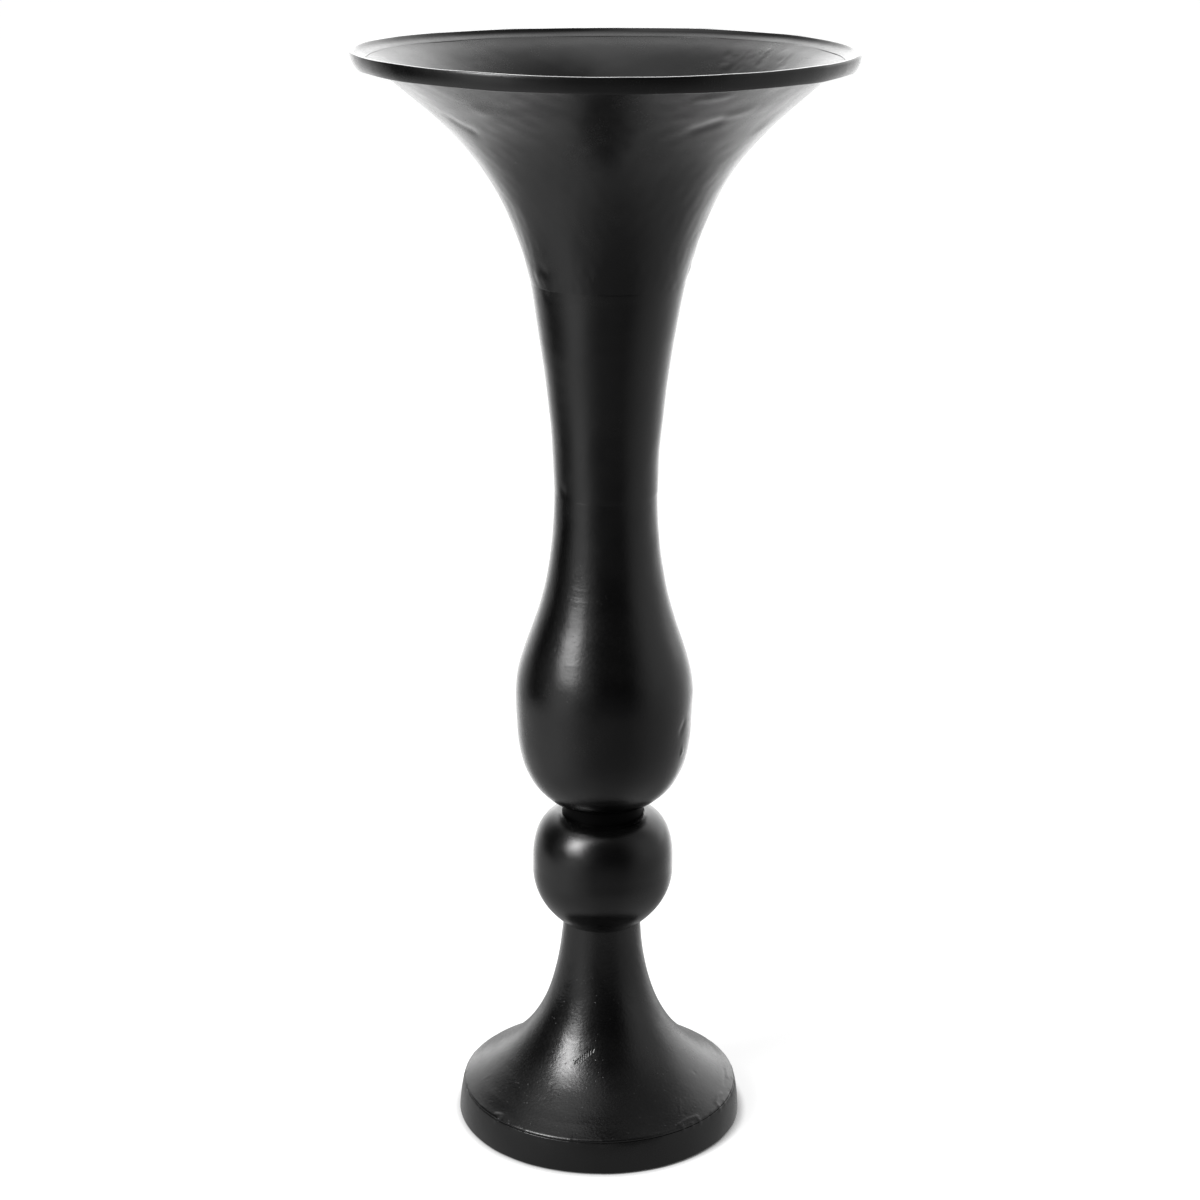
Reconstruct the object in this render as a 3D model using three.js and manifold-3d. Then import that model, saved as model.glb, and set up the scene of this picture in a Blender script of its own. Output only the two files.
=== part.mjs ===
// A tall black metal vase: a horn on a slim neck, an egg-shaped bulb, a collar, a ball and a flared foot.
// Lengths are in millimetres, +Z is up, and the origin is on the axis in the plane that the pads stand on.
// The pieces are stacked castings. Each one seats flat on the next, and a round spigot or sleeve centres it.
// A threaded rod in the bulb's closed floor pulls the collar, the ball and the foot together from below.

import * as THREE from 'three';
import { mergeVertices } from 'three/addons/utils/BufferGeometryUtils.js';
import Module from 'manifold-3d';

// Heights of the stack, from the floor up
const PAD_STAND = 0.8;
const RING_HEIGHT = 23.4;
const FOOT_HEIGHT = 134.3;
const BALL_HEIGHT = 85.1;
const COLLAR_HEIGHT = 10.9;
const BULB_HEIGHT = 235.5;
const NECK_HEIGHT = 152;
const HORN_HEIGHT = 147;
const BAND_HEIGHT = 11;

// Rim band round the mouth
const BAND_TOP_RADIUS = 172.4;
const BAND_BOTTOM_RADIUS = 168.9;
const BAND_SKIRT_WALL = 3.6;
const BAND_CAP_REACH = 3.5;
const BAND_OUTER_ROUND = 1;
const BAND_LIP_WIDTH = 3.2;
const BAND_LIP_HEIGHT = 3.4;
const BAND_LIP_EDGE = 0.6;
const BAND_LEDGE_DROP = 1;
const BAND_CAP_THICKNESS = 2;
const BAND_SIDE_BULGE = 1;

// Horn: the bell-shaped top casting
const HORN_WALL = 4;
const HORN_LIP_LEDGE = 8.5;
const HORN_LIP_SLOPE = 36.4;
const HORN_LIP_PULL = 89.7;
const HORN_THROAT_SLOPE = 76.4;
const HORN_THROAT_PULL = 59.2;
const HORN_SEAM_LEDGE = 0.8;

// Neck: the slim tube between the horn and the bulb
const NECK_WALL = 4;
const NECK_TOP_RADIUS = 53.4;
const NECK_TOP_SLOPE = 82.6;
const NECK_TOP_PULL = 63.7;
const WAIST_RADIUS = 36.6;
const NECK_WAIST_SLOPE = 87.8;
const NECK_WAIST_PULL = 75.3;

// Bulb: the egg-shaped body with a closed floor
const BULB_WALL = 4;
const BULB_WAIST_SLOPE = 91.3;
const BULB_WAIST_PULL = 101.3;
const BELLY_RADIUS = 65;
const BELLY_HEIGHT = 75.5;
const BELLY_SLOPE = 86;
const BELLY_UPPER_PULL = 47.4;
const BELLY_LOWER_PULL = 24.4;
const BULB_BASE_RADIUS = 33.4;
const BULB_BASE_SLOPE = 26.3;
const BULB_BASE_PULL = 33.7;
const BULB_FLOOR_THICKNESS = 10;
const BOSS_RADIUS = 14;
const BOSS_HEIGHT = 16.5;
const BOSS_CHAMFER = 1.5;

// Sleeves that lap the horn into the neck and the neck into the bulb
const SLEEVE_LENGTH = 10;
const SLEEVE_WALL = 2.2;
const SLEEVE_TAPER_LOW = 3;
const SLEEVE_TAPER_HIGH = 10;
const SOCKET_WALL = 4;
const SOCKET_END_GAP = 0.5;

// Collar between the bulb and the ball
const COLLAR_RADIUS = 30.2;
const COLLAR_EDGE = 0.6;
const COLLAR_SPIGOT_RADIUS = 19.7;
const COLLAR_SPIGOT_LENGTH = 3.2;

// Ball: a hollow knop with a flat seat above and below
const BALL_RADIUS = 52.4;
const BALL_WALL = 5;
const BALL_WIDEST_HEIGHT = 45.5;
const BALL_BASE_RADIUS = 29.6;
const BALL_BASE_SLOPE = 37;
const BALL_BASE_PULL = 31.3;
const BALL_LOWER_PULL = 5.8;
const BALL_UPPER_PULL = 7.7;
const BALL_TOP_RADIUS = 37;
const BALL_TOP_SLOPE = 152.1;
const BALL_TOP_PULL = 18.5;

// Foot: a stem that flares out to a shoulder, hollow from below
const FOOT_WALL = 4.5;
const STEM_RADIUS = 28.8;
const STEM_SLOPE = 93.5;
const STEM_PULL = 86.5;
const SHOULDER_INSET = 0.9;
const SHOULDER_ROUND = 0.9;
const SHOULDER_SLOPE = 150.3;
const SHOULDER_PULL = 39.1;
const FOOT_WEB_THICKNESS = 6;
const FOOT_SPIGOT_RADIUS = 18;
const FOOT_SPIGOT_LENGTH = 4;
const FOOT_SKIRT_LENGTH = 5;
const FOOT_SKIRT_WALL = 4;
const FOOT_SKIRT_ROOT = 2.8;

// Plinth ring under the foot
const RING_TOP_RADIUS = 104.1;
const RING_BOTTOM_RADIUS = 107.2;
const RING_TOP_ROUND = 0.6;
const RING_BOTTOM_ROUND = 0.8;
const RING_SIDE_BULGE = 0.5;
const RING_WALL = 6.6;
const RING_FLANGE_WIDTH = 15.5;
const RING_FLANGE_THICKNESS = 6;
const RING_FLANGE_FILLET = 3;

// Pads in pockets under the plinth ring
const PAD_COUNT = 4;
const PAD_RADIUS = 9;
const PAD_MARGIN = 3;
const PAD_POCKET_DEPTH = 2.5;
const PAD_EDGE = 0.5;
const PAD_CLEARANCE = 0.3;

// Rod, washers and nut
const ROD_RADIUS = 4.9;
const ROD_CHAMFER = 1;
const ROD_TAIL = 10;
const ROD_END_GAP = 0.5;
const THREAD_DEPTH = 18;
const THREAD_CLEARANCE = 0.2;
const ROD_CLEARANCE = 0.7;
const WASHER_RADIUS = 20;
const WASHER_THICKNESS = 3;
const SPRING_WASHER_RADIUS = 9;
const SPRING_WASHER_THICKNESS = 2.5;
const SPRING_WASHER_SPLIT = 12;
const NUT_ACROSS_FLATS = 17;
const NUT_HEIGHT = 8;
const NUT_CHAMFER = 30;
const NUT_CUTTER_MARGIN = 1;

// Clearance of every spigot and sleeve in its bore
const SPIGOT_CLEARANCE = 0.3;

// Faces round a revolved piece and steps along its curves
const ROUND_FACES = 40;
const SMALL_FACES = 24;
const BOLT_FACES = 16;
const HORN_STEPS = 12;
const NECK_STEPS = 6;
const BULB_STEPS = 8;
const BALL_STEPS = 6;
const FLARE_STEPS = 12;
const CORNER_STEPS = 3;
const SMALL_CORNER_STEPS = 2;

// Levels of the seats
const RING_BASE = PAD_STAND;
const FOOT_SEAT = RING_BASE + RING_HEIGHT;
const BALL_SEAT = FOOT_SEAT + FOOT_HEIGHT;
const COLLAR_SEAT = BALL_SEAT + BALL_HEIGHT;
const BULB_SEAT = COLLAR_SEAT + COLLAR_HEIGHT;
const NECK_SEAT = BULB_SEAT + BULB_HEIGHT;
const HORN_SEAT = NECK_SEAT + NECK_HEIGHT;
const BAND_BASE = HORN_SEAT + HORN_HEIGHT;
const RIM_TOP = BAND_BASE + BAND_HEIGHT;
const BAND_LEDGE_OUTSIDE = RIM_TOP - BAND_LIP_HEIGHT;
const BAND_LEDGE_INSIDE = BAND_LEDGE_OUTSIDE - BAND_LEDGE_DROP;
const BAND_SEAT = BAND_LEDGE_INSIDE - BAND_CAP_THICKNESS;

// The lip fits inside the narrower end of the band, and the band's cap overhangs it
const BAND_BORE_RADIUS = Math.min(BAND_TOP_RADIUS, BAND_BOTTOM_RADIUS) - BAND_SKIRT_WALL;
const BAND_INNER_RADIUS = BAND_BORE_RADIUS - BAND_CAP_REACH;
const HORN_LIP_RADIUS = BAND_BORE_RADIUS - SPIGOT_CLEARANCE;
const HORN_NOSE_RADIUS = BAND_INNER_RADIUS - SPIGOT_CLEARANCE;
const HORN_LIP_ROOT_RADIUS = HORN_LIP_RADIUS - HORN_LIP_LEDGE;

// The foot's shoulder, the bore under it and the pads follow the plinth ring
const SHOULDER_RADIUS = RING_TOP_RADIUS - SHOULDER_INSET;
const RING_BORE_RADIUS = Math.min(RING_TOP_RADIUS, RING_BOTTOM_RADIUS) - RING_WALL;
const RING_FLANGE_RADIUS = RING_BORE_RADIUS - RING_FLANGE_WIDTH;
const PAD_PITCH_RADIUS = RING_FLANGE_RADIUS + PAD_MARGIN + PAD_RADIUS;

const PAINT = new THREE.MeshStandardMaterial({ color: 0x1d1d1e, roughness: 0.42, metalness: 0.35 });
const HORN_PAINT = new THREE.MeshStandardMaterial({ color: 0x232324, roughness: 0.5, metalness: 0.3 });
const ZINC = new THREE.MeshStandardMaterial({ color: 0xb4b6b8, roughness: 0.35, metalness: 0.9 });
const RUBBER = new THREE.MeshStandardMaterial({ color: 0x141414, roughness: 0.9, metalness: 0 });

const at = (radius, height) => new THREE.Vector2(radius, height);

// A point at a distance from another, in a direction given in degrees from the horizontal
function step(from, degrees, distance) {
  const angle = THREE.MathUtils.degToRad(degrees);
  return at(from.x + distance * Math.cos(angle), from.y + distance * Math.sin(angle));
}

// A smooth curve that leaves start and reaches end at the given slopes
function curve(steps, start, startSlope, startPull, end, endSlope, endPull) {
  const leaving = step(start, startSlope, startPull);
  const arriving = step(end, endSlope, -endPull);
  return new THREE.CubicBezierCurve(start, leaving, arriving, end).getPoints(steps);
}

function arc(centre, radius, fromDegrees, toDegrees, steps = CORNER_STEPS) {
  const points = [];
  for (let i = 0; i <= steps; i++) {
    points.push(step(centre, fromDegrees + ((toDegrees - fromDegrees) * i) / steps, radius));
  }
  return points;
}

// A side that stands out from the straight line between two points by a bulge at its middle
function bulgedSide(start, end, bulge, steps = CORNER_STEPS) {
  const middle = start.clone().add(end).multiplyScalar(0.5);
  return new THREE.QuadraticBezierCurve(start, at(middle.x + 2 * bulge, middle.y), end).getPoints(steps);
}

// Every other point of a curve, with both of its ends
const coarser = (line) => line.filter((point, i) => i % 2 === 0 || i === line.length - 1);

// The inside of a wall: a line parallel to an outline that rises along the outside
function wallInside(line, wall) {
  return line.map((point, i) => {
    const before = i > 0 ? point.clone().sub(line[i - 1]).normalize() : null;
    const after = i < line.length - 1 ? line[i + 1].clone().sub(point).normalize() : null;
    const one = before ?? after;
    const two = after ?? before;
    const reach = wall / (1 + one.dot(two));
    return at(point.x - (one.y + two.y) * reach, point.y + (one.x + two.x) * reach);
  });
}

// The stretch of a rising line between two heights, with its end pieces carried on where it falls short
function between(line, low, high) {
  const crossing = (a, b, height) => a.clone().lerp(b, (height - a.y) / (b.y - a.y));
  const inside = line.filter((point) => point.y > low && point.y < high);
  const first = line.findIndex((point) => point.y > low);
  const last = line.length - 1 - [...line].reverse().findIndex((point) => point.y < high);
  const lowEdge = Math.max(first, 1);
  const highEdge = Math.min(last, line.length - 2);
  const start = crossing(line[lowEdge - 1], line[lowEdge], low);
  const end = crossing(line[highEdge], line[highEdge + 1], high);
  return [start, ...inside, end];
}

// A solid of revolution about the vertical axis, from its section taken anticlockwise
function revolve(section, faces = ROUND_FACES) {
  const onAxis = section[0].x === 0 && section[section.length - 1].x === 0;
  const outline = onAxis ? section : [...section, section[0].clone()];
  return new THREE.LatheGeometry(outline, faces).rotateX(Math.PI / 2);
}

const MERGE_DISTANCE = 1e-4;
const wasm = await Module();
wasm.setup();

function toSolid(geometry) {
  const plain = geometry.clone();
  plain.deleteAttribute('normal');
  plain.deleteAttribute('uv');
  const merged = mergeVertices(plain, MERGE_DISTANCE);
  const mesh = new wasm.Mesh({
    numProp: 3,
    vertProperties: new Float32Array(merged.attributes.position.array),
    triVerts: new Uint32Array(merged.index.array),
  });
  return new wasm.Manifold(mesh);
}

function toGeometry(solid) {
  const mesh = solid.getMesh();
  const geometry = new THREE.BufferGeometry();
  geometry.setAttribute('position', new THREE.BufferAttribute(mesh.vertProperties, 3));
  geometry.setIndex(new THREE.BufferAttribute(mesh.triVerts, 1));
  geometry.computeVertexNormals();
  return geometry;
}

const vase = new THREE.Group();

function add(name, geometry, material, height = 0) {
  const mesh = new THREE.Mesh(geometry, material);
  mesh.name = name;
  mesh.position.z = height;
  vase.add(mesh);
  return mesh;
}

// The radii of a sleeve that hangs from a piece into the socket of the piece below
function sleeveRadii(outerRadius) {
  const outer = outerRadius - SOCKET_WALL - SPIGOT_CLEARANCE;
  return { outer, inner: outer - SLEEVE_WALL };
}

// The band caps the horn's lip: its skirt hangs down round the lip, its ledge rests on the lip's shoulder,
// and a thin lip of its own stands up round the mouth
function rimBand() {
  const outerCorner = at(BAND_TOP_RADIUS - BAND_OUTER_ROUND, RIM_TOP - BAND_OUTER_ROUND);
  const foot = at(BAND_BOTTOM_RADIUS, BAND_BASE);
  const side = bulgedSide(foot, at(BAND_TOP_RADIUS, outerCorner.y), BAND_SIDE_BULGE);
  const lipInside = BAND_TOP_RADIUS - BAND_LIP_WIDTH;
  return revolve([
    at(BAND_BORE_RADIUS, BAND_BASE),
    ...side.slice(0, -1),
    ...arc(outerCorner, BAND_OUTER_ROUND, 0, 90, SMALL_CORNER_STEPS),
    at(lipInside + BAND_LIP_EDGE, RIM_TOP),
    at(lipInside, RIM_TOP - BAND_LIP_EDGE),
    at(lipInside, BAND_LEDGE_OUTSIDE + BAND_LIP_EDGE),
    at(lipInside - BAND_LIP_EDGE, BAND_LEDGE_OUTSIDE),
    at(BAND_INNER_RADIUS, BAND_LEDGE_INSIDE),
    at(BAND_INNER_RADIUS, BAND_SEAT),
    at(BAND_BORE_RADIUS, BAND_SEAT),
  ]);
}

// The horn opens from its throat to a thick lip with a shoulder under the band's ledge.
// A sleeve hangs below the throat in the neck
function horn() {
  const sleeve = sleeveRadii(NECK_TOP_RADIUS);
  const throat = at(NECK_TOP_RADIUS + HORN_SEAM_LEDGE, HORN_SEAT);
  const lipRoot = at(HORN_LIP_ROOT_RADIUS, BAND_BASE);
  const outside = curve(
    HORN_STEPS,
    throat,
    HORN_THROAT_SLOPE,
    HORN_THROAT_PULL,
    lipRoot,
    HORN_LIP_SLOPE,
    HORN_LIP_PULL,
  );
  const wall = wallInside(coarser(outside), HORN_WALL);
  const inside = between(wall, HORN_SEAT + SLEEVE_TAPER_HIGH, BAND_LEDGE_INSIDE);
  return revolve([
    at(sleeve.inner, HORN_SEAT - SLEEVE_LENGTH),
    at(sleeve.outer, HORN_SEAT - SLEEVE_LENGTH),
    at(sleeve.outer, HORN_SEAT),
    ...outside,
    at(HORN_LIP_RADIUS, BAND_BASE),
    at(HORN_LIP_RADIUS, BAND_SEAT),
    at(HORN_NOSE_RADIUS, BAND_SEAT),
    at(HORN_NOSE_RADIUS, BAND_LEDGE_INSIDE),
    ...inside.reverse(),
    at(sleeve.inner, HORN_SEAT + SLEEVE_TAPER_LOW),
  ]);
}

// The neck has a socket for the horn's sleeve at its top and a sleeve of its own below
function neck() {
  const sleeve = sleeveRadii(WAIST_RADIUS);
  const socketRadius = NECK_TOP_RADIUS - SOCKET_WALL;
  const socketEnd = HORN_SEAT - SLEEVE_LENGTH - SOCKET_END_GAP;
  const waist = at(WAIST_RADIUS, NECK_SEAT);
  const top = at(NECK_TOP_RADIUS, HORN_SEAT);
  const outside = curve(
    NECK_STEPS,
    waist,
    NECK_WAIST_SLOPE,
    NECK_WAIST_PULL,
    top,
    NECK_TOP_SLOPE,
    NECK_TOP_PULL,
  );
  const inside = between(wallInside(coarser(outside), NECK_WALL), NECK_SEAT + SLEEVE_TAPER_HIGH, socketEnd);
  return revolve([
    at(sleeve.inner, NECK_SEAT - SLEEVE_LENGTH),
    at(sleeve.outer, NECK_SEAT - SLEEVE_LENGTH),
    at(sleeve.outer, NECK_SEAT),
    ...outside,
    at(socketRadius, HORN_SEAT),
    at(socketRadius, socketEnd),
    ...inside.reverse(),
    at(sleeve.inner, NECK_SEAT + SLEEVE_TAPER_LOW),
  ]);
}

// The bulb holds the water: its floor is closed, with a blind threaded boss and a recess for the collar
function bulb() {
  const socketRadius = WAIST_RADIUS - SOCKET_WALL;
  const socketEnd = NECK_SEAT - SLEEVE_LENGTH - SOCKET_END_GAP;
  const recessRadius = COLLAR_SPIGOT_RADIUS + SPIGOT_CLEARANCE;
  const recessTop = BULB_SEAT + COLLAR_SPIGOT_LENGTH + SPIGOT_CLEARANCE;
  const holeRadius = ROD_RADIUS + THREAD_CLEARANCE;
  const holeTop = recessTop + THREAD_DEPTH;
  const floorTop = BULB_SEAT + BULB_FLOOR_THICKNESS;
  const bossTop = floorTop + BOSS_HEIGHT;
  const belly = at(BELLY_RADIUS, BULB_SEAT + BELLY_HEIGHT);
  const base = at(BULB_BASE_RADIUS, BULB_SEAT);
  const waist = at(WAIST_RADIUS, NECK_SEAT);
  const lower = curve(
    BULB_STEPS,
    base,
    BULB_BASE_SLOPE,
    BULB_BASE_PULL,
    belly,
    BELLY_SLOPE,
    BELLY_LOWER_PULL,
  );
  const upper = curve(
    BULB_STEPS,
    belly,
    BELLY_SLOPE,
    BELLY_UPPER_PULL,
    waist,
    BULB_WAIST_SLOPE,
    BULB_WAIST_PULL,
  );
  const outside = [...lower, ...upper.slice(1)];
  const inside = between(wallInside(coarser(outside), BULB_WALL), floorTop, socketEnd);
  return revolve([
    at(0, holeTop),
    at(holeRadius, holeTop),
    at(holeRadius, recessTop),
    at(recessRadius, recessTop),
    at(recessRadius, BULB_SEAT),
    ...outside,
    at(socketRadius, NECK_SEAT),
    at(socketRadius, socketEnd),
    ...inside.reverse(),
    at(BOSS_RADIUS, floorTop),
    at(BOSS_RADIUS, bossTop - BOSS_CHAMFER),
    at(BOSS_RADIUS - BOSS_CHAMFER, bossTop),
    at(0, bossTop),
  ]);
}

// The collar is a short drum with a spigot above and below
function collar() {
  const bore = ROD_RADIUS + ROD_CLEARANCE;
  return revolve([
    at(bore, COLLAR_SEAT - COLLAR_SPIGOT_LENGTH),
    at(COLLAR_SPIGOT_RADIUS, COLLAR_SEAT - COLLAR_SPIGOT_LENGTH),
    at(COLLAR_SPIGOT_RADIUS, COLLAR_SEAT),
    at(COLLAR_RADIUS - COLLAR_EDGE, COLLAR_SEAT),
    at(COLLAR_RADIUS, COLLAR_SEAT + COLLAR_EDGE),
    at(COLLAR_RADIUS, BULB_SEAT - COLLAR_EDGE),
    at(COLLAR_RADIUS - COLLAR_EDGE, BULB_SEAT),
    at(COLLAR_SPIGOT_RADIUS, BULB_SEAT),
    at(COLLAR_SPIGOT_RADIUS, BULB_SEAT + COLLAR_SPIGOT_LENGTH),
    at(bore, BULB_SEAT + COLLAR_SPIGOT_LENGTH),
  ], SMALL_FACES);
}

// The ball is open above and below, where the collar's and the foot's spigots enter it
function ball() {
  const topBore = COLLAR_SPIGOT_RADIUS + SPIGOT_CLEARANCE;
  const baseBore = FOOT_SPIGOT_RADIUS + SPIGOT_CLEARANCE;
  const base = at(BALL_BASE_RADIUS, BALL_SEAT);
  const widest = at(BALL_RADIUS, BALL_SEAT + BALL_WIDEST_HEIGHT);
  const top = at(BALL_TOP_RADIUS, COLLAR_SEAT);
  const lower = curve(BALL_STEPS, base, BALL_BASE_SLOPE, BALL_BASE_PULL, widest, 90, BALL_LOWER_PULL);
  const upper = curve(BALL_STEPS, widest, 90, BALL_UPPER_PULL, top, BALL_TOP_SLOPE, BALL_TOP_PULL);
  const baseLand = at(baseBore, BALL_SEAT);
  const topLand = at(topBore, COLLAR_SEAT);
  const outside = [baseLand, ...lower, ...upper.slice(1), topLand];
  const coarse = [baseLand, ...coarser(lower), ...coarser(upper).slice(1), topLand];
  return revolve([...outside, ...wallInside(coarse, BALL_WALL).reverse()]);
}

// The foot closes in a web under the ball. A skirt below its shoulder stands in the plinth ring's bore
function foot() {
  const skirtRadius = RING_BORE_RADIUS - SPIGOT_CLEARANCE;
  const skirtInner = skirtRadius - FOOT_SKIRT_WALL;
  const bore = ROD_RADIUS + ROD_CLEARANCE;
  const webBase = BALL_SEAT - FOOT_WEB_THICKNESS;
  const spigotTop = BALL_SEAT + FOOT_SPIGOT_LENGTH;
  const corner = at(SHOULDER_RADIUS - SHOULDER_ROUND, FOOT_SEAT + SHOULDER_ROUND);
  const edge = arc(corner, SHOULDER_ROUND, -90, SHOULDER_SLOPE - 90);
  const shoulder = edge[edge.length - 1];
  const stem = at(STEM_RADIUS, BALL_SEAT);
  const flare = curve(FLARE_STEPS, shoulder, SHOULDER_SLOPE, SHOULDER_PULL, stem, STEM_SLOPE, STEM_PULL);
  const wall = between(wallInside(coarser(flare), FOOT_WALL), FOOT_SEAT + FOOT_SKIRT_ROOT, webBase);
  const inside = wall.map((point) => at(Math.min(point.x, skirtInner), point.y));
  return revolve([
    at(skirtInner, FOOT_SEAT - FOOT_SKIRT_LENGTH),
    at(skirtRadius, FOOT_SEAT - FOOT_SKIRT_LENGTH),
    at(skirtRadius, FOOT_SEAT),
    ...edge.slice(0, -1),
    ...flare,
    at(FOOT_SPIGOT_RADIUS, BALL_SEAT),
    at(FOOT_SPIGOT_RADIUS, spigotTop),
    at(bore, spigotTop),
    at(bore, webBase),
    ...inside.reverse(),
  ]);
}

function padCentres() {
  const centres = [];
  for (let i = 0; i < PAD_COUNT; i++) {
    const angle = ((i + 0.5) * 2 * Math.PI) / PAD_COUNT;
    centres.push(at(PAD_PITCH_RADIUS * Math.cos(angle), PAD_PITCH_RADIUS * Math.sin(angle)));
  }
  return centres;
}

// The plinth ring is a wall with a flange turned in at its foot, and the flange has a pocket for each pad
function plinthRing() {
  const flangeTop = RING_BASE + RING_FLANGE_THICKNESS;
  const fillet = Math.min(RING_FLANGE_FILLET, RING_BORE_RADIUS - RING_FLANGE_RADIUS);
  const filletCentre = at(RING_BORE_RADIUS - fillet, flangeTop + fillet);
  const topCorner = at(RING_TOP_RADIUS - RING_TOP_ROUND, FOOT_SEAT - RING_TOP_ROUND);
  const bottomCorner = at(RING_BOTTOM_RADIUS - RING_BOTTOM_ROUND, RING_BASE + RING_BOTTOM_ROUND);
  const sideFoot = at(RING_BOTTOM_RADIUS, bottomCorner.y);
  const side = bulgedSide(sideFoot, at(RING_TOP_RADIUS, topCorner.y), RING_SIDE_BULGE);
  const ring = revolve([
    at(RING_FLANGE_RADIUS, RING_BASE),
    ...arc(bottomCorner, RING_BOTTOM_ROUND, -90, 0, SMALL_CORNER_STEPS),
    ...side.slice(1, -1),
    ...arc(topCorner, RING_TOP_ROUND, 0, 90, SMALL_CORNER_STEPS),
    at(RING_BORE_RADIUS, FOOT_SEAT),
    ...arc(filletCentre, fillet, 0, -90, SMALL_CORNER_STEPS),
    at(RING_FLANGE_RADIUS, flangeTop),
  ]);
  let solid = toSolid(ring);
  for (const centre of padCentres()) {
    const radius = PAD_RADIUS + PAD_CLEARANCE;
    const pocket = new THREE.CylinderGeometry(radius, radius, 2 * PAD_POCKET_DEPTH, BOLT_FACES);
    pocket.rotateX(Math.PI / 2).translate(centre.x, centre.y, RING_BASE);
    solid = solid.subtract(toSolid(pocket));
  }
  return toGeometry(solid);
}

function pad() {
  const top = PAD_STAND + PAD_POCKET_DEPTH;
  return revolve([
    at(0, 0),
    at(PAD_RADIUS - PAD_EDGE, 0),
    at(PAD_RADIUS, PAD_EDGE),
    at(PAD_RADIUS, top),
    at(0, top),
  ], BOLT_FACES);
}

// Levels under the foot's web, where the rod is clamped
const WASHER_TOP = BALL_SEAT - FOOT_WEB_THICKNESS;
const SPRING_WASHER_TOP = WASHER_TOP - WASHER_THICKNESS;
const NUT_TOP = SPRING_WASHER_TOP - SPRING_WASHER_THICKNESS;
const NUT_BASE = NUT_TOP - NUT_HEIGHT;

function tieRod() {
  const low = NUT_BASE - ROD_TAIL;
  const high = BULB_SEAT + COLLAR_SPIGOT_LENGTH + SPIGOT_CLEARANCE + THREAD_DEPTH - ROD_END_GAP;
  return revolve([
    at(0, low),
    at(ROD_RADIUS - ROD_CHAMFER, low),
    at(ROD_RADIUS, low + ROD_CHAMFER),
    at(ROD_RADIUS, high - ROD_CHAMFER),
    at(ROD_RADIUS - ROD_CHAMFER, high),
    at(0, high),
  ], BOLT_FACES);
}

function clampWasher() {
  const bore = ROD_RADIUS + ROD_CLEARANCE;
  return revolve([
    at(bore, SPRING_WASHER_TOP),
    at(WASHER_RADIUS, SPRING_WASHER_TOP),
    at(WASHER_RADIUS, WASHER_TOP),
    at(bore, WASHER_TOP),
  ], SMALL_FACES);
}

// The spring washer is flat when it is clamped, and its split shows
function springWasher() {
  const bore = ROD_RADIUS + ROD_CLEARANCE;
  const half = THREE.MathUtils.degToRad(SPRING_WASHER_SPLIT / 2);
  const outline = new THREE.Shape();
  outline.absarc(0, 0, SPRING_WASHER_RADIUS, half, 2 * Math.PI - half, false);
  outline.absarc(0, 0, bore, 2 * Math.PI - half, half, true);
  outline.closePath();
  return new THREE.ExtrudeGeometry(outline, {
    depth: SPRING_WASHER_THICKNESS,
    bevelEnabled: false,
    curveSegments: SMALL_FACES / 2,
  });
}

// A hexagon nut whose corners are cut back by a cone above and below
function nut() {
  const corner = NUT_ACROSS_FLATS / 2 / Math.cos(Math.PI / 6);
  const outline = new THREE.Shape();
  for (let i = 0; i < 6; i++) {
    const angle = (i * Math.PI) / 3;
    outline[i === 0 ? 'moveTo' : 'lineTo'](corner * Math.cos(angle), corner * Math.sin(angle));
  }
  outline.closePath();
  const prism = new THREE.ExtrudeGeometry(outline, { depth: NUT_HEIGHT, bevelEnabled: false });
  const crown = NUT_ACROSS_FLATS / 2;
  const slope = Math.tan(THREE.MathUtils.degToRad(NUT_CHAMFER));
  const reach = corner + NUT_CUTTER_MARGIN;
  const drop = (reach - crown) * slope;
  const turned = revolve([
    at(0, 0),
    at(crown, 0),
    at(reach, drop),
    at(reach, NUT_HEIGHT - drop),
    at(crown, NUT_HEIGHT),
    at(0, NUT_HEIGHT),
  ], SMALL_FACES);
  const holeRadius = ROD_RADIUS + THREAD_CLEARANCE;
  const hole = new THREE.CylinderGeometry(holeRadius, holeRadius, 4 * NUT_HEIGHT, BOLT_FACES);
  hole.rotateX(Math.PI / 2);
  return toGeometry(toSolid(prism).intersect(toSolid(turned)).subtract(toSolid(hole)));
}

add('rim_band', rimBand(), PAINT);
add('horn', horn(), HORN_PAINT);
add('neck', neck(), PAINT);
add('bulb', bulb(), PAINT);
add('collar', collar(), PAINT);
add('ball', ball(), PAINT);
add('foot', foot(), PAINT);
add('plinth_ring', plinthRing(), PAINT);
add('tie_rod', tieRod(), ZINC);
add('clamp_washer', clampWasher(), ZINC);
add('spring_washer', springWasher(), ZINC, NUT_TOP);
add('nut', nut(), ZINC, NUT_BASE);

const PAD_NAMES = ['pad_back_right', 'pad_back_left', 'pad_front_left', 'pad_front_right'];
padCentres().forEach((centre, i) => {
  const mesh = add(PAD_NAMES[i] ?? `pad_${i + 1}`, pad(), RUBBER);
  mesh.position.x = centre.x;
  mesh.position.y = centre.y;
});

export default vase;
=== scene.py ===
# A tall vase of black painted castings, stacked on a plinth ring, in a white studio
import math

import bpy
import numpy as np
from mathutils import Matrix


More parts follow.
